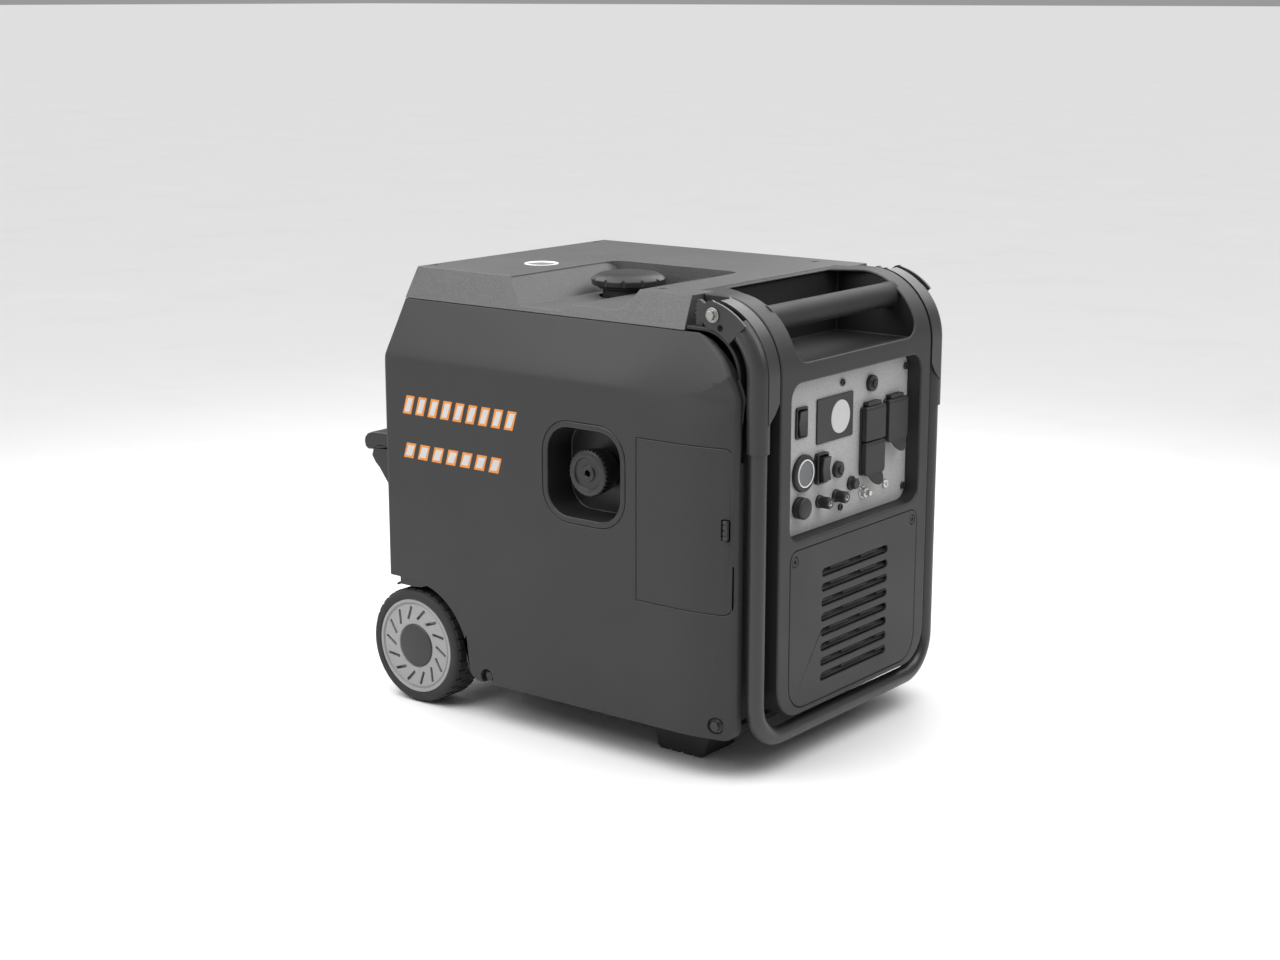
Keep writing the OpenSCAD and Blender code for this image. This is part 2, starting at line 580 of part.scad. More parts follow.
// Tread block outline: a toothed ring, a crest at the lowest point.
tread_count = 30;
function tread(r) = [for (i = [0:tread_count - 1], s = [-3.6, 3.6, 4.6, 7.4])
    let (a = 360 * i / tread_count - 90 + s, q = abs(s) < 4 ? r : r - 4) [q * cos(a), q * sin(a)]];
module tyre() color("#1a1a1a") translate([axle_x, 0, wheel_r]) difference() {
    union() {
        bar_y(0, 0, wheel_r, -half_w + 14, -wheel_in_y - 14);
        xz(-half_w + 3, -half_w + 14.5) polygon(tread(wheel_r - 0.4));
        xz(-wheel_in_y - 14.5, -wheel_in_y - 3) polygon(tread(wheel_r - 0.4));
        bar_y(0, 0, wheel_r - 5, -half_w, -wheel_in_y);
    }
    bar_y(0, 0, rim_r + 0.1, -half_w - 1, -wheel_in_y + 1);
}
module rim() color("#a0a0a0") translate([axle_x, 0, wheel_r]) difference() {
    union() {
        bar_y(0, 0, rim_r, -half_w + 2, -half_w + 8);
        difference() {
            bar_y(0, 0, rim_r, -half_w + 2, -wheel_in_y - 2);
            bar_y(0, 0, rim_r - 4, -half_w + 7, -wheel_in_y);
        }
        bar_y(0, 0, 20, -half_w + 7, -wheel_in_y - 1);
        bar_y(0, 0, 26, -half_w + 0.5, -half_w + 3);
    }
    bar_y(0, 0, axle_r + fit, -202, 0);
    for (i = [0:rim_slots - 1]) rotate([0, 360 * i / rim_slots, 0]) translate([40.5, -half_w, 0])
        rotate([0, 30, 0]) cube([19, 8, 4], center = true);
}
module left_tyre() tyre();
module left_rim() rim();
module right_tyre() mirror([0, 1, 0]) tyre();
module right_rim() mirror([0, 1, 0]) rim();
module side_bolts() color(steel) both_sides() for (p = [[-80.7, 54.6], [241, 62.6]]) {
    bar_y(p[0], p[1], 3, half_w - 13, half_w - 8);
    bar_y(p[0], p[1], 7.5, half_w - 9, half_w - 7.8);
    xz(half_w - 7.9, half_w - 4) translate(p) circle(r = 5.8, $fn = 6);
}

// ---- starter ----
module recoil_bezel() color("#202020") difference() {
    union() {
        xz(-half_w, -half_w + 2.8) polygon(centred(recoil, 116, 114, 36));
        xz(-half_w + 1, recess_floor_y + wall) polygon(centred(recoil, 108, 106, 32));
    }
    xz(-half_w - 1, recess_floor_y) polygon(centred(recoil, 102, 100, 29));
    bar_y(recoil[0], recoil[1], rope_r + 1, -180, -150);
}
module recoil_grip() color("#1c1c1c") {
    difference() {
        bar_y(recoil[0], recoil[1], grip_r, grip_face_y, grip_face_y + 30);
        difference() {
            bar_y(recoil[0], recoil[1], 19, grip_face_y - 1, grip_face_y + 3);
            bar_y(recoil[0], recoil[1], 9, grip_face_y - 2, grip_face_y + 4);
        }
        bar_y(recoil[0], recoil[1], 4, grip_face_y - 1, grip_face_y + 12);
        for (i = [0:23]) translate([recoil[0], 0, recoil[1]]) rotate([0, 15 * i, 0])
            block([grip_r - 1, grip_face_y + 5, -1.4], [grip_r + 2, grip_face_y + 25, 1.4]);
    }
    bar_y(recoil[0], recoil[1], 12, grip_face_y + 29, grip_face_y + 34);
    bar_y(recoil[0], recoil[1], rope_r, grip_face_y + 33, -6);
}
module starter_reel() color("#3a3a3a") difference() {
    union() {
        bar_x(reel_y, reel_z, reel_r - 2, recoil[0] - 6, recoil[0] + 6);
        for (x = [recoil[0] - 6, recoil[0] + 4]) bar_x(reel_y, reel_z, reel_r + 6, x, x + 2);
    }
    bar_x(reel_y, reel_z, 6 + fit, 0, 100);
    for (a = [0:60:300]) translate([0, reel_y, reel_z]) rotate([a, 0, 0]) bar_x(0, 34, 11, 50, 80);
}
module recoil_housing() color("#4a4a4a") difference() {
    union() {
        difference() {
            bar_x(reel_y, reel_z, 76, recoil[0] - 12, recoil[0] + 12);
            bar_x(reel_y, reel_z, 72, recoil[0] - 9, recoil[0] + 13);
        }
        bar_x(reel_y, reel_z, 6, recoil[0] - 10, recoil[0] + 11);
    }
    block([0, -100, recoil[1] - 7], [100, reel_y, recoil[1] + 7]);
}

// ---- inside ----
module fuel_tank() color("#2a2a2a") difference() {
    union() {
        intersection() {
            xz(-145, 145) polygon(rounded([-130, 404], [120, 480], 22, 14));
            yz(-200, 200) polygon(rounded([-145, 404], [145, 480], 22, 14));
        }
        post(cap[0], cap[1], 30, 470, cap_low_z - 1);
    }
    post(cap[0], cap[1], 25, 425, 500);
}
module fuel_gauge() color("#e8e8e8") difference() {
    post(gauge[0], gauge[1], 20.3, 508, top_z + 0.6);
    post(gauge[0], gauge[1], 16.5, top_z - 1, top_z + 1);
}
module cap_gasket() color("#101010") difference() {
    post(cap[0], cap[1], 31.4, cap_low_z - 0.7, cap_low_z + 4.6);
    post(cap[0], cap[1], 25.4, cap_low_z - 2, cap_low_z + 6);
}
module fuel_cap() color("#1a1a1a") difference() {
    union() {
        post(cap[0], cap[1], cap_r - 3, cap_low_z, cap_low_z + 4);
        xy(cap_low_z + 3.5, cap_high_z - 3) translate(cap) polygon([for (i = [0:cap_ribs * 4 - 1])
            let (a = 90 * i / cap_ribs, q = i % 4 < 2 ? cap_r : cap_r - 3) [q * cos(a), q * sin(a)]]);
        post(cap[0], cap[1], cap_r - 6, cap_high_z - 3.5, cap_high_z);
    }
    post(cap[0], cap[1], 32, cap_low_z - 1, cap_low_z + 5);
}
module engine_block() color("#8c8c8c") {
    xz(-55, 105) polygon(rounded([-140, 97], [8, 330], 20, 20));
    block([-112, -30, 325], [-28, 80, 350]);
    for (i = [0:5]) block([-116, -34, 352 + 7 * i], [-24, 84, 355 + 7 * i]);
    block([-104, -22, 349], [-36, 72, 390]);
    bar_x(reel_y, reel_z, 14, 7, 11);
}
module engine_mounts() color("#151515") for (x = [-120, -14], y = [-35, 85])
    post(x, y, 15, base_z + 8, 97);
module alternator() color("#6c6c6c") difference() {
    bar_x(reel_y, reel_z, 80, 11.4, 51);
    for (a = [0:45:315]) translate([0, reel_y, reel_z]) rotate([a, 0, 0]) bar_x(0, 62, 9, 30, 60);
}
module inverter_module() color("#5a5a5a") {
    block([170, -115, 230], [246, 115, 398]);
    for (i = [0:9]) block([150, -110 + 23 * i, 236], [171, -105 + 23 * i, 392]);
}
module battery() color("#252525") {
    block([150, 45, 62], [240, 150, 150]);
    for (y = [60, 130]) post(170, y, 6, 149, 160);
}
module air_cleaner() color("#242424") {
    xz(118, 196) polygon(rounded([-95, 250], [45, 372], 14, 14));
    bar_y(-70, 360, 18, 88, 119);
}
module muffler() color("#9a9a9a") difference() {
    union() {
        yz(-226, -150) polygon(rounded([-40, 125], [112, 225], 34, 34));
        bar_x(tail_y, tail_z, 18, -243, -225);
        bar_x(tail_y, tail_z, 26, -232, -225);
    }
    bar_x(tail_y, tail_z, 15, -244, -208);
}

base_tray();
rubber_feet();
wheel_axle();
front_bulkhead();
hand_well();
front_cover();
carry_grip();
left_side_cover();
right_side_cover();
top_cover();
rear_cover();
rear_handle();
control_plate();
vent_panel();
cover_screws();
side_bolts();
recoil_bezel();
fuel_tank();
fuel_gauge();
engine_block();
engine_mounts();
muffler();
alternator();
inverter_module();
air_cleaner();
battery();
recoil_housing();
display_bezel();
display_face();
switch_bezels();
parallel_sockets();
dc_socket();
fuse_knob();
duplex_outlet();
single_outlet();
ground_terminal();
pivot_bolts();
lock_quadrants();
handle_tube();
left_arm();
right_arm();
left_tyre();
left_rim();
right_tyre();
right_rim();
cap_gasket();
fuel_cap();
access_door();
door_latch();
recoil_grip();
starter_reel();
start_button();
reset_button_upper();
reset_button_lower();
economy_rocker();
breaker_rocker();
duplex_flap_upper();
duplex_flap_lower();
single_flap();
dc_cap();
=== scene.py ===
# %% [markdown]
# # An inverter generator, built around its CAD frame
# The CAD model holds every size and joint. This lesson gives it its looks: moulded covers with soft
# edges, a powder-coated pull handle, rubber tyres, and a control panel full of small fittings. Each step
# says what the real piece is, how it could be made in Blender, and why it was made this way.

# %% Load the frame
import json
import math

import bmesh
import bpy
from mathutils import Matrix, Vector

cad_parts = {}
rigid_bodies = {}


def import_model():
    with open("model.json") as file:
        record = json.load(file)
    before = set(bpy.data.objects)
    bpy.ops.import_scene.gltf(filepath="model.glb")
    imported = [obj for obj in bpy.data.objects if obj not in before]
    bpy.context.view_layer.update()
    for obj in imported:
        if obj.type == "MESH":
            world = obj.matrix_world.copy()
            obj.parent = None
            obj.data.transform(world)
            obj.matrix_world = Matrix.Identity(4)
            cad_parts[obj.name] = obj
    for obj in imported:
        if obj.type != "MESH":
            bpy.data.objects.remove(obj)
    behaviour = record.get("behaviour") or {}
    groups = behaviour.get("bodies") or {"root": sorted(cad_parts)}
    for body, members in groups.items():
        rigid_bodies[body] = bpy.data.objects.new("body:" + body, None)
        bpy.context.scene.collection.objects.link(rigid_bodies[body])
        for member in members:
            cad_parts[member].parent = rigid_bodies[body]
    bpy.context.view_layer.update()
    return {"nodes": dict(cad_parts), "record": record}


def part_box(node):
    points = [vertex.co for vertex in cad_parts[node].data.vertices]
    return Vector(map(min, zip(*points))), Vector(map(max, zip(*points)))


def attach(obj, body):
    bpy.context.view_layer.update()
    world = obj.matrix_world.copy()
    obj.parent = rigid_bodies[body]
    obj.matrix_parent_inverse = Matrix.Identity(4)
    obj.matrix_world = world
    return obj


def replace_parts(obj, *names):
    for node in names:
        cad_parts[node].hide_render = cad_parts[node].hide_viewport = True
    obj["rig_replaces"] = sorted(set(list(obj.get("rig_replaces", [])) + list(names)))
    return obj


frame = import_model()
MM = 0.001
BODY = {node: body for body, nodes in frame["record"]["behaviour"]["bodies"].items() for node in nodes}


# %% [markdown]
# ## Measuring the frame
# A new piece is placed from the CAD node that it dresses, so nothing is fitted by eye. The box of a node
# gives its corners, and from those come its middle and its half sizes. Everything below is written in
# millimetres, as a maker would, and turned to metres when a vertex is made.

# %% Boxes in millimetres
def box_mm(node):
    low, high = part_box(node)
    return low / MM, high / MM


def middle(node):
    low, high = box_mm(node)
    return (low + high) / 2


# %% [markdown]
# ## Camera
# The camera stands at the front left of the machine, a little above it, with a 60 mm lens. A longer lens
# would flatten the front cover, and a shorter one would stretch the near corner. It is made first, before the
# floor, the lights and the pieces.

# %% Camera
CAMERA_PLACE = Vector((1.498, -1.949, 0.825))
CAMERA_AZIMUTH = math.radians(37.9)
CAMERA_ELEVATION = math.radians(12.9)
heading = Vector((
    -math.sin(CAMERA_AZIMUTH) * math.cos(CAMERA_ELEVATION),
    math.cos(CAMERA_AZIMUTH) * math.cos(CAMERA_ELEVATION),
    -math.sin(CAMERA_ELEVATION),
))
camera = bpy.data.objects.new("camera", bpy.data.cameras.new("camera"))
camera.data.lens = 59.6
camera.data.sensor_width = 36
camera.location = CAMERA_PLACE
camera.rotation_euler = heading.to_track_quat("-Z", "Y").to_euler()
bpy.context.scene.collection.objects.link(camera)
bpy.context.scene.camera = camera
print("camera looks along", [round(v, 3) for v in heading])

# %% [markdown]
# ## Floor and light
# A studio shot of dark plastic needs large soft lights from above: the top gets the most and the sides
# much less, so the folds in the covers read clearly. A wide soft sun stands for the ceiling and keeps the
# pale floor even, and softboxes close above each side fade towards the ground. Small lamps would only make
# hard spots. The plain view transform keeps the pale floor near white.

# %% Floor and lights
floor_bm = bmesh.new()
bmesh.ops.create_grid(floor_bm, x_segments=1, y_segments=1, size=150)
floor_mesh = bpy.data.meshes.new("floor")
floor_bm.to_mesh(floor_mesh)
floor_bm.free()
floor = bpy.data.objects.new("floor", floor_mesh)
bpy.context.scene.collection.objects.link(floor)


def lamp(name, kind, place, aim, **settings):
    """Adds a light at place, in metres, turned to face aim."""
    light = bpy.data.lights.new(name, kind)
    for setting, value in settings.items():
        setattr(light, setting, value)
    holder = bpy.data.objects.new(name, light)
    holder.location = place
    holder.rotation_euler = (Vector(aim) - Vector(place)).to_track_quat("-Z", "Y").to_euler()
    bpy.context.scene.collection.objects.link(holder)


lamp("ceiling", "SUN", (0, 0, 4), (0, 0.05, 0), energy=2.1, angle=math.radians(75))
lamp("left_softbox", "AREA", (-0.35, -0.95, 1.2), (-0.1, -0.1, 0.35), energy=14, size=1.1)
lamp("front_softbox", "AREA", (1.15, 0.15, 1.25), (0.1, 0, 0.3), energy=7, size=0.9)
lamp("right_softbox", "AREA", (0.1, 1.0, 1.2), (0, 0.1, 0.35), energy=10, size=1.1)
lamp("rear_softbox", "AREA", (-1.1, 0, 1.2), (-0.1, 0, 0.35), energy=8, size=1.0)
world = bpy.data.worlds.new("studio")
world.use_nodes = True
world.node_tree.nodes["Background"].inputs["Color"].default_value = (1, 1, 1, 1)
world.node_tree.nodes["Background"].inputs["Strength"].default_value = 0.32
bpy.context.scene.world = world
bpy.context.scene.view_settings.view_transform = "Standard"


# %% [markdown]
# ## Colours and nodes
# Colours are picked as sRGB hex values and turned to the linear values that the shader works with. One
# function adds a node with its settings and links, so that each material below reads as a short recipe.

# %% Colour and node helpers
def linear(hex_code):
    parts = [int(hex_code[i:i + 2], 16) / 255 for i in (1, 3, 5)]
    return [c / 12.92 if c <= 0.04045 else ((c + 0.055) / 1.055) ** 2.4 for c in parts] + [1.0]


def add_node(tree, kind, inputs=None, **settings):
    node = tree.nodes.new(kind)
    for name, value in settings.items():
        setattr(node, name, value)
    for name, value in (inputs or {}).items():
        if isinstance(value, bpy.types.NodeSocket):
            tree.links.new(value, node.inputs[name])
        else:
            node.inputs[name].default_value = value
    return node


def new_material(name, **sockets):
    material = bpy.data.materials.new(name)
    material.use_nodes = True
    shader = material.node_tree.nodes["Principled BSDF"]
    for socket, value in sockets.items():
        shader.inputs[socket.replace("_", " ")].default_value = value
    return material, material.node_tree, shader


# %% [markdown]
# ## Moulded plastic
# The covers are ABS, moulded in tools whose faces were spark-eroded, which leaves a fine pebbled grain
# that scatters light. A picture of plastic could be wrapped on, but noise in Object coordinates has
# no seams and keeps its real size everywhere. Two noises do the work: the grain, which also drives the
# bump, and a slow cloudiness, because a moulding is never quite even.

# %% Moulded plastic
FINE_GRAIN = 1.3          # mm; the real grain is about 0.3 mm, drawn coarser so that it shows
COARSE_GRAIN = 2.2        # mm; the leather-like grain of the flat top, drawn coarser than its 0.8 mm
CLOUD = 90.0              # mm


def moulded(name, low, high, grain, depth, roughness, fleck=0.0):
    """Plastic between two shades. grain and depth are in mm, fleck is how strongly the grain tints it."""
    material, tree, shader = new_material(name, IOR=1.5)
    place = add_node(tree, "ShaderNodeTexCoord").outputs["Object"]
    cloud = add_node(tree, "ShaderNodeTexNoise", {"Vector": place, "Scale": 1 / (CLOUD * MM), "Detail": 3.0})
    pebble = add_node(tree, "ShaderNodeTexNoise",
                      {"Vector": place, "Scale": 1 / (grain * MM), "Detail": 2.0, "Roughness": 0.6})
    mix = add_node(tree, "ShaderNodeMix", {"Factor": cloud.outputs["Fac"], 6: linear(low), 7: linear(high)},
                   data_type="RGBA")
    spread = add_node(tree, "ShaderNodeMapRange", {"Value": pebble.outputs["Fac"], "From Min": 0.35,
                      "From Max": 0.65, "To Min": 1 - fleck, "To Max": 1 + fleck})
    tint = add_node(tree, "ShaderNodeVectorMath", {0: mix.outputs[2], "Scale": spread.outputs[0]},
                    operation="SCALE")
    sheen = add_node(tree, "ShaderNodeMapRange", {"Value": cloud.outputs["Fac"], "From Min": 0.3,
                     "From Max": 0.7, "To Min": roughness - 0.05, "To Max": roughness + 0.05})
    bump = add_node(tree, "ShaderNodeBump", {"Height": pebble.outputs["Fac"], "Strength": 0.6,
                    "Distance": depth * MM})
    tree.links.new(tint.outputs[0], shader.inputs["Base Color"])
    tree.links.new(sheen.outputs[0], shader.inputs["Roughness"])
    tree.links.new(bump.outputs[0], shader.inputs["Normal"])
    return material


side_abs = moulded("moulded_abs_side", "#222222", "#262626", FINE_GRAIN, 0.10, 0.55, 0.05)
# Painted light: the top is the same dark plastic as the sides, but its colour is painted much lighter for the
# light that falls on it from above.
top_abs_painted_lighter = moulded("grained_abs_top_painted_lighter", "#4a4a4a", "#515151", COARSE_GRAIN, 0.35, 0.44, 0.16)
# Painted shade: the front, vent, rear covers and louvres are the same plastic as the sides, with their colour
# painted a little darker for the weaker light on them.
front_abs_painted_darker = moulded("moulded_abs_front_painted_darker", "#202020", "#242424", FINE_GRAIN, 0.10, 0.52, 0.05)
black_pp = moulded("black_polypropylene", "#151515", "#191919", FINE_GRAIN, 0.12, 0.60, 0.06)
satin_black = moulded("satin_black_nylon", "#1b1b1b", "#202020", FINE_GRAIN, 0.06, 0.42, 0.05)
rim_nylon = moulded("light_grey_nylon", "#8a8a8a", "#929292", FINE_GRAIN, 0.06, 0.45, 0.03)

# %% [markdown]
# ## Powder coat, rubber and metals
# The handle is steel tube under black powder coat, which melts into a faint orange-peel skin. The tyres,
# feet and outlet flaps are rubber, dull and slightly dusty. The bolts are zinc-plated steel, and the
# panel is sprayed with a speckled light grey. Each recipe keeps the real value that matters: metallic for
# bare metal, high roughness for rubber, and the grain at its own size.

# %% Powder coat and rubber
powder_coat = moulded("black_powder_coat", "#2a2a2a", "#303030", 3.0, 0.08, 0.34, 0.02)
tread_rubber = moulded("tread_rubber", "#1c1c1c", "#252525", FINE_GRAIN, 0.15, 0.72, 0.10)
flap_rubber = moulded("flap_rubber", "#202020", "#262626", FINE_GRAIN, 0.05, 0.55, 0.04)
dark_hub = moulded("dark_hub_nylon", "#262626", "#2b2b2b", FINE_GRAIN, 0.05, 0.5, 0.03)


# %% Bare metals
def plated(name, shade, roughness, scratch_mm):
    """Plated or cast metal with fine marks that change its gloss."""
    material, tree, shader = new_material(name, Metallic=1.0)
    place = add_node(tree, "ShaderNodeTexCoord").outputs["Object"]
    marks = add_node(tree, "ShaderNodeTexNoise",
                     {"Vector": place, "Scale": 1 / (scratch_mm * MM), "Detail": 4.0})
    gloss = add_node(tree, "ShaderNodeMapRange", {"Value": marks.outputs["Fac"], "From Min": 0.3,
                     "From Max": 0.7, "To Min": roughness - 0.08, "To Max": roughness + 0.12})
    tone = add_node(tree, "ShaderNodeMapRange", {"Value": marks.outputs["Fac"], "From Min": 0.3,
                    "From Max": 0.7, "To Min": 0.85, "To Max": 1.05})
    tint = add_node(tree, "ShaderNodeVectorMath", {0: linear(shade)[:3], "Scale": tone.outputs[0]},
                    operation="SCALE")
    bump = add_node(tree, "ShaderNodeBump", {"Height": marks.outputs["Fac"], "Strength": 0.3,
                    "Distance": 0.05 * MM})
    tree.links.new(tint.outputs[0], shader.inputs["Base Color"])
    tree.links.new(gloss.outputs[0], shader.inputs["Roughness"])
    tree.links.new(bump.outputs[0], shader.inputs["Normal"])
    return material


zinc = plated("zinc_plated_steel", "#d0d0cc", 0.28, 2.0)
dull_zinc = plated("dull_zinc_plate", "#a4a4a0", 0.42, 2.0)
dark_steel = plated("dark_phosphated_steel", "#4c4c4c", 0.5, 2.0)
cast_aluminium = plated("cast_aluminium", "#a8a8a6", 0.55, 1.5)
exhaust_steel = plated("exhaust_steel", "#8a8580", 0.45, 3.0)


# %% Speckled panel paint
def speckled(name, ground, dark, light, speck_mm):
    """Sprayed paint with fine dark and light specks."""
    material, tree, shader = new_material(name, Roughness=0.5)
    place = add_node(tree, "ShaderNodeTexCoord").outputs["Object"]
    specks = add_node(tree, "ShaderNodeTexNoise", {"Vector": place, "Scale": 1 / (speck_mm * MM),
                      "Detail": 3.0, "Roughness": 0.7})
    ramp = add_node(tree, "ShaderNodeValToRGB", {"Fac": specks.outputs["Fac"]})
    ramp.color_ramp.elements[0].position = 0.36
    ramp.color_ramp.elements[0].color = linear(dark)
    ramp.color_ramp.elements[1].position = 0.68
    ramp.color_ramp.elements[1].color = linear(light)
    ramp.color_ramp.elements.new(0.44).color = linear(ground)
    ramp.color_ramp.elements.new(0.58).color = linear(ground)
    bump = add_node(tree, "ShaderNodeBump", {"Height": specks.outputs["Fac"], "Strength": 0.4,
                    "Distance": 0.05 * MM})
    tree.links.new(ramp.outputs["Color"], shader.inputs["Base Color"])
    tree.links.new(bump.outputs[0], shader.inputs["Normal"])
    return material


panel_paint = speckled("speckled_panel_paint", "#a2a2a2", "#6e6e6e", "#c8c8c8", 1.1)
floor_paint = speckled("pale_floor_paint", "#ececec", "#eaeaea", "#eeeeee", 400)
floor.data.materials.append(floor_paint)


# %% [markdown]
# ## From bmesh to piece
# Every piece ends the same way: its faces are smooth, its true corners are marked sharp, and it rides on
# the body of the CAD node that it dresses. Rounded edges come from a Bevel modifier, and a Weighted Normal
# modifier keeps the large flat faces flat in the light.

# %% Piece helpers
SHARP = math.radians(32)


def to_piece(bm, name, material, node, stands_for=True):
    """Ends a bmesh as an object that rides with a CAD node, and may stand for it."""
    for face in bm.faces:
        face.smooth = True
    for edge in bm.edges:
        edge.smooth = len(edge.link_faces) == 2 and edge.calc_face_angle(0) < SHARP
    mesh = bpy.data.meshes.new(name)
    bm.to_mesh(mesh)
    bm.free()
    if "custom_normal" in mesh.attributes:
        mesh.attributes.remove(mesh.attributes["custom_normal"])
    mesh.materials.clear()
    mesh.materials.append(material)
    piece = bpy.data.objects.new(name, mesh)
    bpy.context.scene.collection.objects.link(piece)
    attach(piece, BODY[node])
    if stands_for:
        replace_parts(piece, node)
    return piece


def round_edges(piece, width, segments=2, clamp=False):
    bevel = piece.modifiers.new("rounded_edges", "BEVEL")
    bevel.width = width * MM
    bevel.segments = segments
    bevel.angle_limit = SHARP
    bevel.use_clamp_overlap = clamp
    bevel.miter_outer = "MITER_ARC"
    normal = piece.modifiers.new("flat_faces", "WEIGHTED_NORMAL")
    normal.keep_sharp = True
    return piece


def cad_copy(node):
    """A merged copy of a CAD node, with its flat faces whole again."""
    bm = bmesh.new()
    bm.from_mesh(frame["nodes"][node].data)
    bmesh.ops.remove_doubles(bm, verts=bm.verts, dist=0.005 * MM)
    bmesh.ops.dissolve_limit(bm, angle_limit=math.radians(0.3), verts=bm.verts, edges=bm.edges)
    return bm


def moulding(node, material, edge=0.8, segments=2, shape=None, clamp=False):
    """A copy of a CAD node with rounded edges, which stands for it."""
    bm = cad_copy(node)
    if shape:
        shape(bm)
    return round_edges(to_piece(bm, node + "_moulding", material, node), edge, segments, clamp)


# %% [markdown]
# ## Side covers
# Each side cover is one large moulding. It folds inwards at shoulder height, and the fold fades out
# towards the front, where the cover curves round to the handle. The CAD fold is a sharp line all along.
# Cutting a merged copy into strips and easing its vertices inwards gives the soft fold, and the free
# edges get a wide bevel, because a hand meets them when the machine is lifted.

# %% Soft fold of the side covers
CREASE_Z = 417
FOLD_SLOPE = 38 / 101
FOLD_CUTS_Z = (350, 362, 374, 384, 393, 400, 406, 411, 415, 419, 423, 428, 434, 441, 450, 460, 471)
FOLD_CUTS_X = range(90, 262, 10)
FACE_CUTS_X = (-205, -122, -60, 0)
FACE_CUTS_Z = (110, 153, 240)


def cut_across(bm, places, normal):
    """Cuts a bmesh with a plane at each place in mm along the normal."""
    for place in places:
        bmesh.ops.bisect_plane(bm, geom=bm.verts[:] + bm.edges[:] + bm.faces[:], dist=1e-7,
                               plane_co=Vector(normal) * place * MM, plane_no=normal)


def ease_fold(bm):
    """Softens the fold: 4 mm at the rear, widening to 30 mm at the front."""
    cut_across(bm, FOLD_CUTS_Z, (0, 0, 1))
    cut_across(bm, FOLD_CUTS_X, (1, 0, 0))
    for vert in bm.verts:
        t = min(max((vert.co.x / MM - 95) / 110, 0), 1)
        softness = 3 + 25 * t * t * (3 - 2 * t)
        rise = vert.co.z / MM - CREASE_Z
        eased = softness * math.log1p(math.exp(min(rise / softness, 40))) if rise < 40 * softness else rise
        vert.co.y -= math.copysign(FOLD_SLOPE * (eased - max(rise, 0)) * MM, vert.co.y)


def wide_edges(bm, chosen, width, segments):
    """Bevels the sharp edges whose middle point is chosen."""
    edges = [e for e in bm.edges if e.is_manifold and e.calc_face_angle(0) > SHARP
             and chosen((e.verts[0].co + e.verts[1].co) / 2 / MM, [f.normal for f in e.link_faces])]
    bmesh.ops.bevel(bm, geom=edges, offset=width * MM, offset_type="OFFSET", segments=segments,
                    profile=0.5, affect="EDGES", clamp_overlap=False, material=-1)
    print("bevelled", len(edges), "edges by", width, "mm")


def outer_corner(normals):
    """True where an outward side face meets a face that looks along the machine or up."""
    sideways = sorted(abs(n.y) for n in normals)
    return sideways[0] < 0.4 and sideways[1] > 0.75


def cut_flat(bm):
    """Cuts the large face into plain strips, so that it has no long thin triangles."""
    cut_across(bm, FACE_CUTS_X, (1, 0, 0))
    cut_across(bm, FACE_CUTS_Z, (0, 0, 1))


def shape_side(bm):
    wide_edges(bm, lambda p, n: abs(p.y) > 184.6 and outer_corner(n) and (p.x > 259.6 or
               (p.z > 372 and p.x > 205 and p.z < 480)), 5, 4)
    wide_edges(bm, lambda p, n: abs(p.y) > 185.5 and outer_corner(n) and p.x < -217 and p.z < 480
               and min(v.x for v in n) < -0.7, 6, 4)
    cut_flat(bm)
    ease_fold(bm)


for side in ("left", "right"):
    moulding(side + "_side_cover", side_abs, 0.9, 2, shape_side)
moulding("access_door", side_abs, 0.7, 2, ease_fold)
moulding("door_latch", side_abs, 0.6)

# %% [markdown]
# ## Lips of the wheel arches
# Behind each wheel arch the cover drops a little further, down to a finger's width above the tyre. The
# drop is a thin lip just inside the cover's face. A flat plate with a curved lower edge is all it needs.

# %% Wheel arch lips
ARCH_LIP = [(-217, 143), (-195, 143), (-184, 144.2), (-172, 148), (-165, 154), (-217, 154)]
for side, sign in (("left", -1), ("right", 1)):
    lip = bmesh.new()
    edge = lip.faces.new([lip.verts.new((x * MM, sign * 205 * MM, z * MM)) for x, z in ARCH_LIP])
    raised = bmesh.ops.extrude_face_region(lip, geom=[edge])
    bmesh.ops.translate(lip, vec=(0, sign * 4.4 * MM, 0),
                        verts=[g for g in raised["geom"] if isinstance(g, bmesh.types.BMVert)])
    bmesh.ops.recalc_face_normals(lip, faces=lip.faces)
    round_edges(to_piece(lip, side + "_arch_lip", side_abs, side + "_side_cover", stands_for=False), 0.8)

# %% [markdown]
# ## Top, front and rear covers
# These mouldings already have their true outline in CAD. What they lack is the small radius that every
# moulding tool leaves, so they are merged copies with bevelled edges. The top has the coarser grain, and its
# colour is painted much lighter than the sides to stand for the light that falls on it from above. The front,
# vent and rear covers are painted a little darker than the sides to stand for the shade they stand in.

# %% Top, front and rear covers
moulding("top_cover", top_abs_painted_lighter, 0.5, 2)
moulding("front_cover", front_abs_painted_darker, 1.8, 3)
moulding("vent_panel", front_abs_painted_darker, 0.7, 2)
moulding("rear_cover", front_abs_painted_darker, 0.8, 2)
moulding("rear_handle", satin_black, 2.0, 3)
moulding("front_bulkhead", black_pp, 1.0, 2)
moulding("hand_well", black_pp, 2.0, 3)
moulding("base_tray", black_pp, 1.0, 2)
moulding("rubber_feet", tread_rubber, 2.5, 3, clamp=True)
moulding("recoil_bezel", satin_black, 1.4, 3)
moulding("control_plate", panel_paint, 0.4, 1)


# %% [markdown]
# ## Shapes that repeat
# Most fittings are either turned on a lathe or stamped from a plate. A turned piece starts as half of its
# section, which is spun round an axis. A plate starts as one face, drawn flat, which is extruded. Bars and
# rods are repeated shapes, such as ribs and grooves, placed by a matrix. A few short functions cover them.

# %% Turned pieces and plates
TO_X = Matrix(((0, 0, 1), (1, 0, 0), (0, 1, 0))).to_4x4()
TO_LEFT = Matrix(((1, 0, 0), (0, 0, -1), (0, 1, 0))).to_4x4()


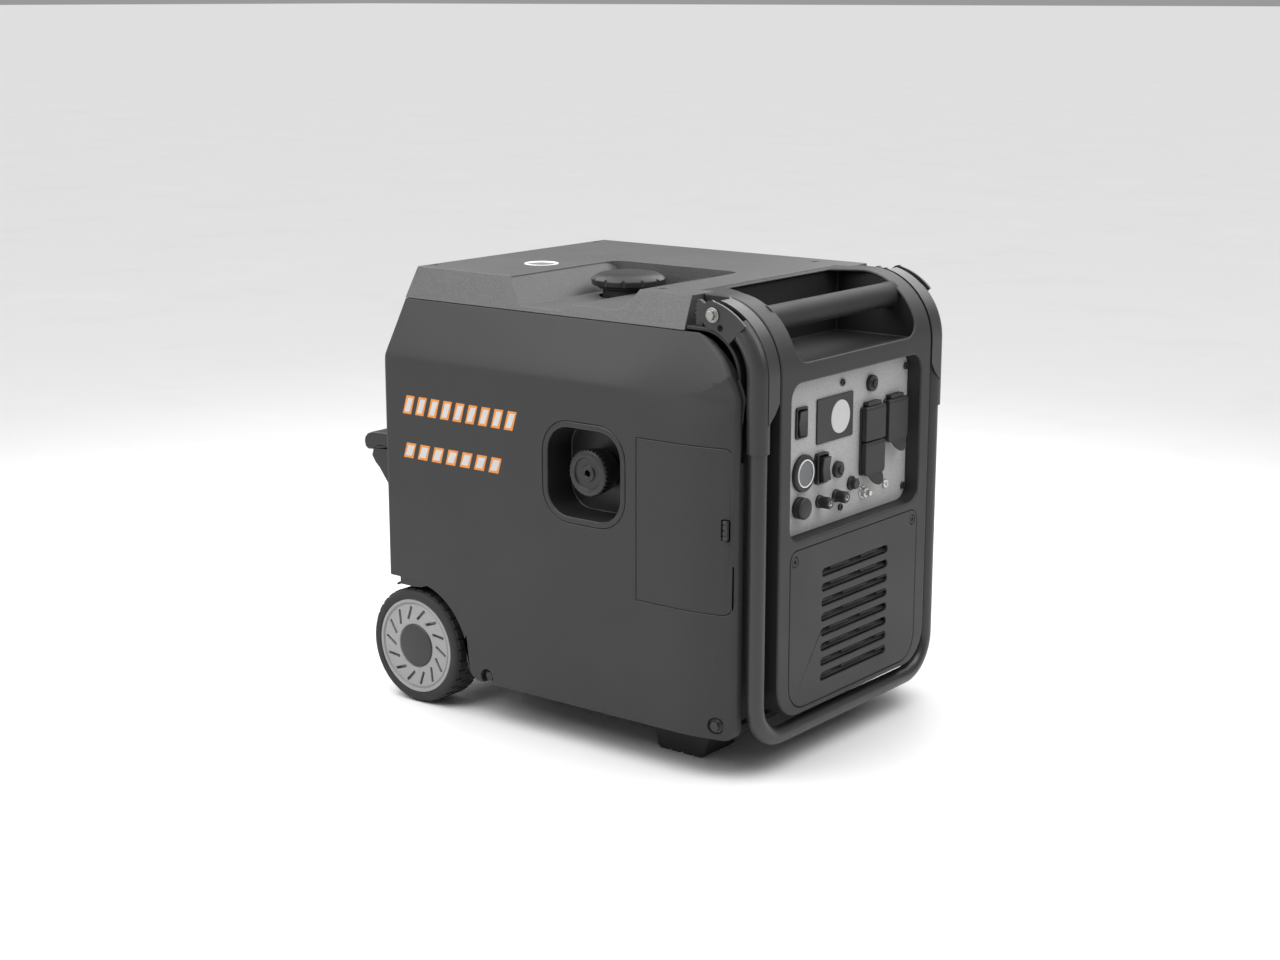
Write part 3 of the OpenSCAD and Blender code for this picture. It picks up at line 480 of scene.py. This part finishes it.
def turned(outline, place, turn=None, steps=48, closed=False):
    """Spins (radius, height) points in mm round Z, then turns the axis and moves it to place in mm."""
    bm = bmesh.new()
    verts = [bm.verts.new((radius * MM, 0, height * MM)) for radius, height in outline]
    pairs = zip(verts, verts[1:] + verts[:1]) if closed else zip(verts, verts[1:])
    edges = [bm.edges.new(pair) for pair in pairs]
    bmesh.ops.spin(bm, geom=verts + edges, cent=(0, 0, 0), axis=(0, 0, 1), angle=2 * math.pi, steps=steps,
                   use_merge=True)
    bmesh.ops.remove_doubles(bm, verts=bm.verts, dist=1e-6)
    bmesh.ops.recalc_face_normals(bm, faces=bm.faces)
    place = Matrix.Translation(Vector(place) * MM) @ (turn or Matrix())
    bmesh.ops.transform(bm, matrix=place, verts=bm.verts)
    return bm


def stamped(points, low, high, turn=None):
    """Extrudes a flat outline in mm from height low to high, with its normal along Z before the turn."""
    bm = bmesh.new()
    face = bm.faces.new([bm.verts.new((a * MM, b * MM, low * MM)) for a, b in points])
    raised = bmesh.ops.extrude_face_region(bm, geom=[face])
    bmesh.ops.translate(bm, vec=(0, 0, (high - low) * MM),
                        verts=[g for g in raised["geom"] if isinstance(g, bmesh.types.BMVert)])
    bmesh.ops.recalc_face_normals(bm, faces=bm.faces)
    bmesh.ops.transform(bm, matrix=turn or Matrix(), verts=bm.verts)
    return bm


def arc(centre, radius, start, end, steps=6):
    """Points of an arc in degrees."""
    turns = [math.radians(start + (end - start) * i / steps) for i in range(steps + 1)]
    return [(centre[0] + radius * math.cos(t), centre[1] + radius * math.sin(t)) for t in turns]


def rounded_box(low, high, low_r, high_r):
    """Outline of a rectangle with round corners; each radius serves two corners."""
    return (arc((high[0] - low_r, low[1] + low_r), low_r, -90, 0) + arc((high[0] - high_r, high[1] - high_r),
            high_r, 0, 90) + arc((low[0] + high_r, high[1] - high_r), high_r, 90, 180)
            + arc((low[0] + low_r, low[1] + low_r), low_r, 180, 270))


# %% Bars, rods and joins
def shift(*step):
    """A move by a step in mm."""
    return Matrix.Translation(Vector(step) * MM)


def add_bar(bm, size, place):
    """Adds a bar of a size in mm to a bmesh, with its middle where the place matrix puts it."""
    bmesh.ops.create_cube(bm, size=1, matrix=place @ Matrix.Diagonal((*(Vector(size) * MM), 1)))


def add_rod(bm, radius, length, place, segments=12):
    """Adds a round rod to a bmesh, along the Z axis of the place matrix."""
    bmesh.ops.create_cone(bm, segments=segments, radius1=radius * MM, radius2=radius * MM,
                          depth=length * MM, cap_ends=True, matrix=place)


def spun(spot, facing, part):
    """A frame at spot in mm, facing outwards, turned by part of a full turn."""
    return shift(*spot) @ facing @ Matrix.Rotation(2 * math.pi * part, 4, "Z")


def join(bm, other):
    """Moves the faces of one bmesh into another."""
    mesh = bpy.data.meshes.new("joined")
    other.to_mesh(mesh)
    other.free()
    bm.from_mesh(mesh)
    bpy.data.meshes.remove(mesh)


# %% [markdown]
# ## Pull handle
# The handle is a bent steel tube. Pressed sleeves cover its ends, follow the bend of the case and end in
# flat cheeks round the pivot bolts. A tube is a circle moved along a path, so each straight run is an
# extrusion and each corner is a spin of the same ring, all in one mesh without a seam.

# %% Handle tube
tube_low, tube_high = box_mm("handle_tube")
TUBE_R = (tube_high.x - tube_low.x) / 2
LEG_Y = tube_high.y - TUBE_R
BAR_Z = tube_low.z + TUBE_R
BEND_R = 45
tube_x = (tube_low.x + tube_high.x) / 2


def grow(bm, ring, step):
    """Extrudes a ring of edges by a step in mm and returns the new ring."""
    geom = bmesh.ops.extrude_edge_only(bm, edges=ring)["geom"]
    bmesh.ops.translate(bm, vec=Vector(step) * MM,
                        verts=[g for g in geom if isinstance(g, bmesh.types.BMVert)])
    return [g for g in geom if isinstance(g, bmesh.types.BMEdge) and g.is_boundary]


def bend(bm, ring, centre, angle, steps=14):
    """Spins a ring round an axis along X through a centre in mm, and returns the new ring."""
    geom = bmesh.ops.spin(bm, geom=ring, cent=Vector(centre) * MM, axis=(1, 0, 0), angle=angle, steps=steps)
    return [g for g in geom["geom_last"] if isinstance(g, bmesh.types.BMEdge)]


bm = bmesh.new()
ring_verts = bmesh.ops.create_circle(bm, segments=40, radius=TUBE_R * MM)["verts"]
bmesh.ops.translate(bm, vec=Vector((tube_x, -LEG_Y, tube_high.z)) * MM, verts=ring_verts)
ring = grow(bm, bm.edges[:], (0, 0, BAR_Z + BEND_R - tube_high.z))
ring = bend(bm, ring, (tube_x, BEND_R - LEG_Y, BAR_Z + BEND_R), math.pi / 2)
ring = grow(bm, ring, (0, 2 * (LEG_Y - BEND_R), 0))
ring = bend(bm, ring, (tube_x, LEG_Y - BEND_R, BAR_Z + BEND_R), math.pi / 2)
ring = grow(bm, ring, (0, 0, tube_high.z - BAR_Z - BEND_R))
bmesh.ops.remove_doubles(bm, verts=bm.verts, dist=1e-6)
bmesh.ops.holes_fill(bm, edges=[e for e in bm.edges if e.is_boundary])
bmesh.ops.recalc_face_normals(bm, faces=bm.faces)
to_piece(bm, "bent_handle_tube", powder_coat, "handle_tube")
for side in ("left", "right"):
    moulding(side + "_arm", powder_coat, 0.3, 1, clamp=True)
moulding("pivot_bolts", dull_zinc, 0.5)
moulding("lock_quadrants", dark_steel, 0.3)
print("tube radius", round(TUBE_R, 2), "legs at", round(LEG_Y, 1))

# %% [markdown]
# ## Carry grip
# A thick rounded bar bridges the hand well. Its ends flare where they meet the walls. The bar is a ring of
# points in an oval, extruded in steps, with the last steps scaled up for the flare.

# %% Carry grip
grip_low, grip_high = box_mm("carry_grip")
grip = Vector((243, 0, 491.5))
bm = bmesh.new()
oval = bmesh.ops.create_circle(bm, segments=36, radius=MM)["verts"]
bmesh.ops.transform(bm, matrix=Matrix.Translation(Vector((grip.x, grip_low.y, grip.z)) * MM)
                    @ TO_LEFT @ Matrix.Diagonal((15, 16, 1, 1)), verts=oval)
ring = bm.edges[:]
for step, scale in ((4, 0.95), (6, 0.93), (2 * (grip_high.y - 10), 1.0), (6, 1 / 0.93), (4, 1 / 0.95)):
    ring = grow(bm, ring, (0, step, 0))
    verts = {v for e in ring for v in e.verts}
    bmesh.ops.scale(bm, vec=(scale, 1, scale), verts=list(verts),
                    space=Matrix.Translation(Vector((grip.x, 0, grip.z)) * -MM))
bmesh.ops.holes_fill(bm, edges=[e for e in bm.edges if e.is_boundary])
bmesh.ops.recalc_face_normals(bm, faces=bm.faces)
to_piece(bm, "carry_grip_bar", black_pp, "carry_grip")

# %% [markdown]
# ## Louvres
# Behind each slot of the vent panel lies a sloping blade, which keeps rain out and lets air through a
# narrow gap below it. Short slits near its top are staggered from row to row. Each blade is a full lower
# strip and a few upper strips with gaps between them, so the slits are real openings.

# %% Louvre blades
SLOT_PITCH = 17
SLOT_HALF = 68
FIRST_SLOT_Z = 91
BLADE_TURN = Matrix.Rotation(math.radians(-38), 4, "Y")
vent_face = box_mm("vent_panel")[1].x
slits = {0: ((-46, 22), (24, 24)), 1: ((-68, 18), (-12, 24), (46, 22))}    # start and length of each gap
bm = bmesh.new()
for row in range(8):
    z = FIRST_SLOT_Z + SLOT_PITCH * row
    add_bar(bm, (1.4, 2 * SLOT_HALF, 7.2), shift(vent_face - 5.4, 0, z - 0.8) @ BLADE_TURN)
    edge = -SLOT_HALF
    for start, length in (*slits[(row // 2) % 2], (SLOT_HALF, 0)):
        if start > edge:
            place = shift(vent_face - 2, (edge + start) / 2, z + 3.4)
            add_bar(bm, (1.4, start - edge, 3.6), place @ BLADE_TURN)
        edge = start + length
to_piece(bm, "louvre_blades", front_abs_painted_darker, "vent_panel", stands_for=False)
print("louvre rows: 8, pitch", SLOT_PITCH)

# %% [markdown]
# ## Wheels
# A tyre with a plain sidewall, a round shoulder and low tread blocks runs on a light grey disc wheel. The
# tyre is turned from its section, and one block is copied round it. The disc has a stepped edge, a dark hub
# cap and a ring of swept slots, which are cut with a Boolean modifier and so show their true depth.

# %% Tyres
RIM_R = 57
TREAD_BLOCKS = 34
tyre_low, tyre_high = box_mm("left_tyre")
WHEEL = Vector(((tyre_low.x + tyre_high.x) / 2, 0, 70))
TYRE_R = 69.6
TYRE_W = tyre_high.y - tyre_low.y
FACING = {"left": TO_LEFT, "right": TO_LEFT @ Matrix.Rotation(math.pi, 4, "X")}
section = ([(RIM_R + 0.1, 1.0), (58.5, 0.2)] + arc((62, 6.5), 6.5, 265, 345, 6)
           + [(68.6, 8.5), (68.6, TYRE_W - 8.5)] + arc((62, TYRE_W - 6.5), 6.5, 15, 95, 6)
           + [(58.5, TYRE_W - 0.2), (RIM_R + 0.1, TYRE_W - 1.0)])
for side, outside in (("left", tyre_low.y), ("right", -tyre_low.y)):
    spot = (WHEEL.x, outside, WHEEL.z)
    bm = turned([(r, -h) for r, h in section], spot, FACING[side], 72, closed=True)
    for i in range(TREAD_BLOCKS):
        for lane, stagger in ((10.5, 0), (TYRE_W / 2, 0.5), (TYRE_W - 10.5, 0)):
            block = spun(spot, FACING[side], (i + stagger) / TREAD_BLOCKS) @ shift(TYRE_R - 1.9, 0, -lane)
            add_bar(bm, (3.6, 9.4, 11.6), block)
    round_edges(to_piece(bm, side + "_tyre_with_tread", tread_rubber, side + "_tyre"), 0.6)


# %% Disc wheels
def carve(piece, bm):
    """Cuts a bmesh out of a piece and applies the cut."""
    mesh = bpy.data.meshes.new("cutter")
    bm.to_mesh(mesh)
    bm.free()
    cutter = bpy.data.objects.new("cutter", mesh)
    bpy.context.scene.collection.objects.link(cutter)
    cut = piece.modifiers.new("cut", "BOOLEAN")
    cut.object = cutter
    cut.solver = "EXACT"
    view = bpy.context.evaluated_depsgraph_get()
    result = bpy.data.meshes.new_from_object(piece.evaluated_get(view), depsgraph=view)
    piece.modifiers.clear()
    old, piece.data = piece.data, result
    piece.data.name = piece.name
    bpy.data.meshes.remove(old)
    bpy.data.objects.remove(cutter)


RIM_SLOTS = 14
SWEEP = Matrix.Rotation(math.radians(-32), 4, "Z")
rim_section = [(8.1, 3.2), (26.5, 3.2), (27, 2.4), (50, 2.4), (51.2, 3.4), (52.4, 3.4), (53.2, 1.6),
               (56.2, 1.2), (57, 2.2), (57, 44), (53, 44), (53, 9), (20, 8), (20, 44), (8.1, 44)]
for side, outside in (("left", tyre_low.y), ("right", -tyre_low.y)):
    spot = (WHEEL.x, outside, WHEEL.z)
    rim = to_piece(turned([(r, -h) for r, h in rim_section], spot, FACING[side], 72, closed=True),
                   side + "_disc_wheel", rim_nylon, side + "_rim")
    slots = bmesh.new()
    for i in range(RIM_SLOTS):
        add_bar(slots, (18, 3.6, 7.4), spun(spot, FACING[side], i / RIM_SLOTS) @ shift(40, 0, -4) @ SWEEP)
    carve(rim, slots)
    cap = turned([(0, -0.9), (20, -1.0), (24.6, -1.6), (26, -3.0), (26, -6), (0, -6)], spot, FACING[side], 56)
    to_piece(cap, side + "_hub_cap", dark_hub, side + "_rim", stands_for=False)
print("wheel at", [round(v, 1) for v in WHEEL])

# %% [markdown]
# ## Fuel cap and gauge
# The cap is a thick disc with a chamfered top and twelve finger grooves that run up its side and into the
# chamfer. A lathe gives the disc and the collar below it, and round bars cut the grooves. The gauge is a
# clear lens in a thin white ring, flush with the top.

# %% Fuel cap
cap_low, cap_high = box_mm("fuel_cap")
cap = (cap_low + cap_high) / 2
CAP_R = (cap_high.x - cap_low.x) / 2
CAP_GROOVES = 12
cap_spot = (cap.x, cap.y, cap_low.z)
cap_outline = [(0, 17.6), (24, 17.8), (26, 17.2), (34, 16.2), (CAP_R - 4, 13.6), (CAP_R - 0.4, 10.6),
               (CAP_R, 9.0), (CAP_R - 0.6, 4.4), (CAP_R - 2.4, 3.2), (CAP_R - 7, 2.6), (CAP_R - 7.6, 0.2),
               (32.4, 0.0), (32.4, 5.4), (0, 5.4)]
fuel_cap = to_piece(turned(cap_outline, cap_spot, steps=72), "grooved_fuel_cap", satin_black, "fuel_cap")
grooves = bmesh.new()
for i in range(CAP_GROOVES):
    turn = spun(cap_spot, Matrix(), i / CAP_GROOVES)
    add_rod(grooves, 2.2, 22, turn @ shift(CAP_R + 0.2, 0, 9) @ Matrix.Rotation(math.radians(-8), 4, "Y"))
    add_rod(grooves, 1.5, 17, turn @ shift(35, 0, 17.2) @ Matrix.Rotation(math.radians(103), 4, "Y"))
carve(fuel_cap, grooves)
round_edges(fuel_cap, 0.5)
moulding("cap_gasket", flap_rubber, 0.5)

# %% Fuel gauge
clear_lens = moulded("tinted_polycarbonate", "#6f6f6f", "#7a7a7a", FINE_GRAIN, 0.01, 0.12, 0.01)
white_abs = moulded("white_abs", "#dadada", "#e6e6e6", FINE_GRAIN, 0.03, 0.35, 0.01)
gauge_low, gauge_high = box_mm("fuel_gauge")
gauge = (gauge_low + gauge_high) / 2
gauge_ring = [(17.4, 0), (20.2, 0), (20.2, 10.2), (19.6, 10.6), (18.6, 10.6), (18.0, 10.0), (17.4, 9.4)]
gauge_spot = (gauge.x, gauge.y, gauge_low.z)
to_piece(turned(gauge_ring, gauge_spot, steps=64, closed=True), "gauge_ring", white_abs, "fuel_gauge")
lens_outline = [(0, 10.1), (12, 9.9), (16.4, 9.4), (16.6, 8), (17.5, 7.6), (17.5, 4), (0, 4)]
to_piece(turned(lens_outline, gauge_spot, steps=64), "gauge_lens", clear_lens, "fuel_gauge", stands_for=False)

# %% [markdown]
# ## Starter grip
# The rope starter ends in a round grip with a ridged edge, a shallow ring in its face and a hole for the
# knot. It is turned, and then small ribs are set round its front edge so that fingers hold it.

# %% Starter grip
starter_low, starter_high = box_mm("recoil_grip")
recess = middle("recoil_bezel")
STARTER = Vector((recess.x, starter_low.y, recess.z))
GRIP_R = (starter_high.x - starter_low.x) / 2
GRIP_RIBS = 32
grip_outline = [(3.6, 12), (3.6, 0.8), (4.6, 0), (8.6, 0), (9.2, 0.6), (9.4, 2.2), (17.8, 2.2), (18.2, 0.6),
                (19, 0), (GRIP_R - 3.5, 0), (GRIP_R - 1.6, 0.7), (GRIP_R - 0.7, 2.4), (GRIP_R - 0.9, 15),
                (GRIP_R - 2.6, 26),
                (GRIP_R - 5, 29.6), (13, 30), (12, 33.4), (4, 34), (2, 34.2), (2, 195), (0, 195), (0, 12)]
bm = turned([(r, -h) for r, h in grip_outline], STARTER, TO_LEFT, 96, closed=True)
for i in range(GRIP_RIBS):
    add_bar(bm, (2.4, 2.3, 7.2), spun(STARTER, TO_LEFT, i / GRIP_RIBS) @ shift(GRIP_R - 1.3, 0, -5.2))
round_edges(to_piece(bm, "starter_grip", satin_black, "recoil_grip"), 0.35)


# %% [markdown]
# ## Panel fittings
# The control plate carries switches, push buttons, sockets and knobs. Every one stands on the plate, so
# its base is the plate's front face, and its middle comes from its own CAD node. Round ones are turned
# with real chamfers, and the others are merged copies with rounded edges.

# %% Round fittings
plate_x = box_mm("control_plate")[1].x


def round_fitting(name, node, spot, outline, material, stands_for=True, steps=48):
    """A turned fitting that stands out along X from the plate at spot, with heights from the plate."""
    bm = turned(outline, (plate_x, spot.y, spot.z), TO_X, steps)
    return to_piece(bm, name, material, node, stands_for)


start = middle("start_button")
ring_black = [(15.8, 0), (20.6, 0), (20.6, 1.6), (19.2, 4.4), (16.6, 5.0), (15.8, 4.4), (15.8, 0)]
moulding("switch_bezels", satin_black, 0.8, 3)
round_fitting("start_ring", "switch_bezels", start, ring_black, satin_black, False, 64)
button_outline = [(0, -5), (15.4, -5), (15.4, 4.2), (15.2, 4.6), (14.0, 4.7), (13.6, 4.3), (8, 4.1), (0, 4.0)]
smoke_abs = moulded("grey_abs_button", "#585c5c", "#5e6262", FINE_GRAIN, 0.02, 0.3, 0.02)
round_fitting("start_button_disc", "start_button", start, button_outline, smoke_abs, True, 64)
light_ring = [(14.1, 4.4), (15.5, 4.4), (15.5, 5.2), (15.1, 5.5), (14.4, 5.5), (14.1, 5.2), (14.1, 4.4)]
round_fitting("start_button_ring", "start_button", start, light_ring, white_abs, False, 64)
reset_outline = [(0, -4), (4.2, -4), (4.2, 6.9), (3.6, 7.8), (2.4, 8), (1.6, 7.4), (0, 7.2)]
collar_outline = [(4.7, 5), (4.7, 0), (9.3, 0), (9.3, 1.4), (8.6, 2.2), (7, 2.6), (6.6, 5.4), (5.8, 6),
                  (4.7, 5.6)]
for name in ("reset_button_upper", "reset_button_lower"):
    spot = middle(name)
    round_fitting(name + "_cap", name, spot, reset_outline, satin_black)
    round_fitting(name + "_collar", "switch_bezels", spot, collar_outline, satin_black, False)
dc = middle("dc_cap")
dc_outline = [(0, 1.4), (8.6, 1.4), (8.6, 5.3), (12, 5.3), (12, 9.6), (11, 11), (9.6, 11.6), (0, 11.2)]
round_fitting("charging_cap", "dc_cap", dc, dc_outline, flap_rubber)
fuse = middle("fuse_knob")
round_fitting("fuse_base", "fuse_knob", fuse, [(0, 0), (8, 0), (8, 1.8), (7, 3), (0, 3)], satin_black, False)
moulding("fuse_knob", satin_black, 0.9, 3)
moulding("dc_socket", satin_black, 0.6)

# %% Parallel sockets, display and earth stud
sockets_low, sockets_high = box_mm("parallel_sockets")
SOCKET_R = 7.4
socket_outline = [(2.9, 15.2), (2.9, 3), (2.9, 0), (SOCKET_R, 0), (SOCKET_R, 2.6), (6.6, 3.4), (6.6, 14.2),
                  (5.6, 15.8), (3.6, 16), (2.9, 15.4)]
contact_outline = [(2, 4), (2, 15.6), (2.3, 15.9), (2.9, 15.7), (2.9, 4)]
for label, y, z in (("rear", sockets_low.y + SOCKET_R, sockets_low.z + SOCKET_R),
                    ("front", sockets_high.y - SOCKET_R, sockets_high.z - SOCKET_R)):
    spot = Vector((0, y, z))
    round_fitting("parallel_socket_" + label, "parallel_sockets", spot, socket_outline, satin_black)
    round_fitting("socket_contact_" + label, "parallel_sockets", spot, contact_outline, zinc, False)
moulding("display_bezel", satin_black, 0.5)
frosted_window = moulded("frosted_display_window", "#b9b9b9", "#c2c2c2", FINE_GRAIN, 0.02, 0.35, 0.01)
moulding("display_face", frosted_window, 0.3)
moulding("ground_terminal", zinc, 0.4)
moulding("economy_rocker", satin_black, 1.0, 3)
moulding("breaker_rocker", satin_black, 1.0, 3)
moulding("duplex_outlet", satin_black, 0.8)
moulding("single_outlet", satin_black, 0.8)
moulding("cover_screws", dark_steel, 0.4)
moulding("side_bolts", dark_steel, 0.5)

# %% [markdown]
# ## Outlet flaps
# Soft flaps keep rain off the sockets. Each has rounded lower corners, a round hinge barrel at its top and,
# where a finger lifts it, a half-round tongue that slants outwards. The barrel has the hinge as its axis,
# so the flap turns without cutting into the plate, and the lug above it stays on the socket.

# %% Outlet flaps
duplex_box, single_box = box_mm("duplex_outlet"), box_mm("single_outlet")
FLAP_THICK = 6.2


def flap(node, outlet, low_r, tongue):
    """A flap on its hinge barrel, with a half-round tongue when tongue is true; the fixed lug above it is
    made by knuckle.
    """
    low, high = box_mm(node)
    base_z = max(low.z, outlet[0].z)
    y = (low.y + high.y) / 2
    hinge_z = high.z - FLAP_THICK / 2
    bm = stamped(rounded_box((low.y, base_z), (high.y, hinge_z), low_r, 0.3), low.x, low.x + FLAP_THICK, TO_X)
    add_rod(bm, FLAP_THICK / 2, high.y - low.y - 0.6, shift(low.x + FLAP_THICK / 2, y, hinge_z) @ TO_LEFT, 32)
    if tongue:
        lip = stamped(arc((0, 0), 14.5, -90, 90, 16), 0, 1.6)
        slope = shift(low.x + FLAP_THICK - 1.6, y, base_z + 1.4) @ Matrix.Rotation(math.radians(60), 4, "Y")
        bmesh.ops.transform(lip, matrix=slope, verts=lip.verts)
        join(bm, lip)
    round_edges(to_piece(bm, node + "_cover", flap_rubber, node), 0.7, 3)


def knuckle(name, flap_node, outlet_node):
    """The fixed hinge lug above a flap."""
    low, high = box_mm(flap_node)
    y = (low.y + high.y) / 2
    outline = rounded_box((y - 14, high.z + 0.3), (y + 14, high.z + 4.6), 0.5, 2)
    lug = stamped(outline, plate_x, low.x + 4, TO_X)
    round_edges(to_piece(lug, name, flap_rubber, outlet_node, stands_for=False), 0.6, 2)


flap("duplex_flap_upper", duplex_box, 1, False)
flap("duplex_flap_lower", duplex_box, 6, True)
flap("single_flap", single_box, 6, True)
knuckle("duplex_hinge_lug", "duplex_flap_upper", "duplex_outlet")
knuckle("single_hinge_lug", "single_flap", "single_outlet")

# %% [markdown]
# ## Trim on the left cover
# The left cover carries a printed trim above and behind the starter. It is drawn here as plain slanted
# bars, orange with a silver core, which say nothing. Each bar is a thin plate that lies on the cover.

# %% Slanted trim bars
orange_ink = moulded("orange_printed_ink", "#c87a2e", "#d08436", FINE_GRAIN, 0.02, 0.4, 0.03)
silver_ink = moulded("silver_printed_ink", "#b4b4b4", "#bcbcbc", FINE_GRAIN, 0.02, 0.35, 0.03)
cover_y = box_mm("left_side_cover")[0].y
for label, material, inset, depth in (("edge", orange_ink, 0, 0.06), ("core", silver_ink, 2.6, 0.12)):
    bm = bmesh.new()
    for row_z, count, start_x, wide, tall, gap in ((362, 9, -205, 13, 22, 6.5), (308, 7, -205, 15, 18, 7)):
        for i in range(count):
            x = start_x + i * (wide + gap)
            lean = tall * 0.3
            low, high = row_z - tall / 2 + inset, row_z + tall / 2 - inset
            corners = [(x + inset, low), (x + wide - inset, low), (x + wide + lean - inset, high),
                       (x + lean + inset, high)]
            join(bm, stamped(corners, -cover_y, -cover_y + depth, TO_LEFT))
    to_piece(bm, "trim_bars_" + label, material, "left_side_cover", stands_for=False)

# %% [markdown]
# ## Parts inside
# Most of the machinery is only seen through slots and openings, but every node has a true finish, because
# the covers can be taken off in another scene. The CAD meshes are right here, so only materials change.

# %% Parts inside
INSIDE = {
    "wheel_axle": zinc, "fuel_tank": black_pp, "engine_block": cast_aluminium, "engine_mounts": tread_rubber,
    "muffler": exhaust_steel, "alternator": cast_aluminium, "inverter_module": cast_aluminium,
    "air_cleaner": black_pp, "battery": black_pp, "recoil_housing": satin_black, "starter_reel": black_pp,
}
for node, material in INSIDE.items():
    mesh = frame["nodes"][node].data
    mesh.materials.clear()
    mesh.materials.append(material)
replaced = {n for piece in bpy.data.objects for n in piece.get("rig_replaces", [])}
print("nodes without a finish:", sorted(set(frame["nodes"]) - replaced - set(INSIDE)))
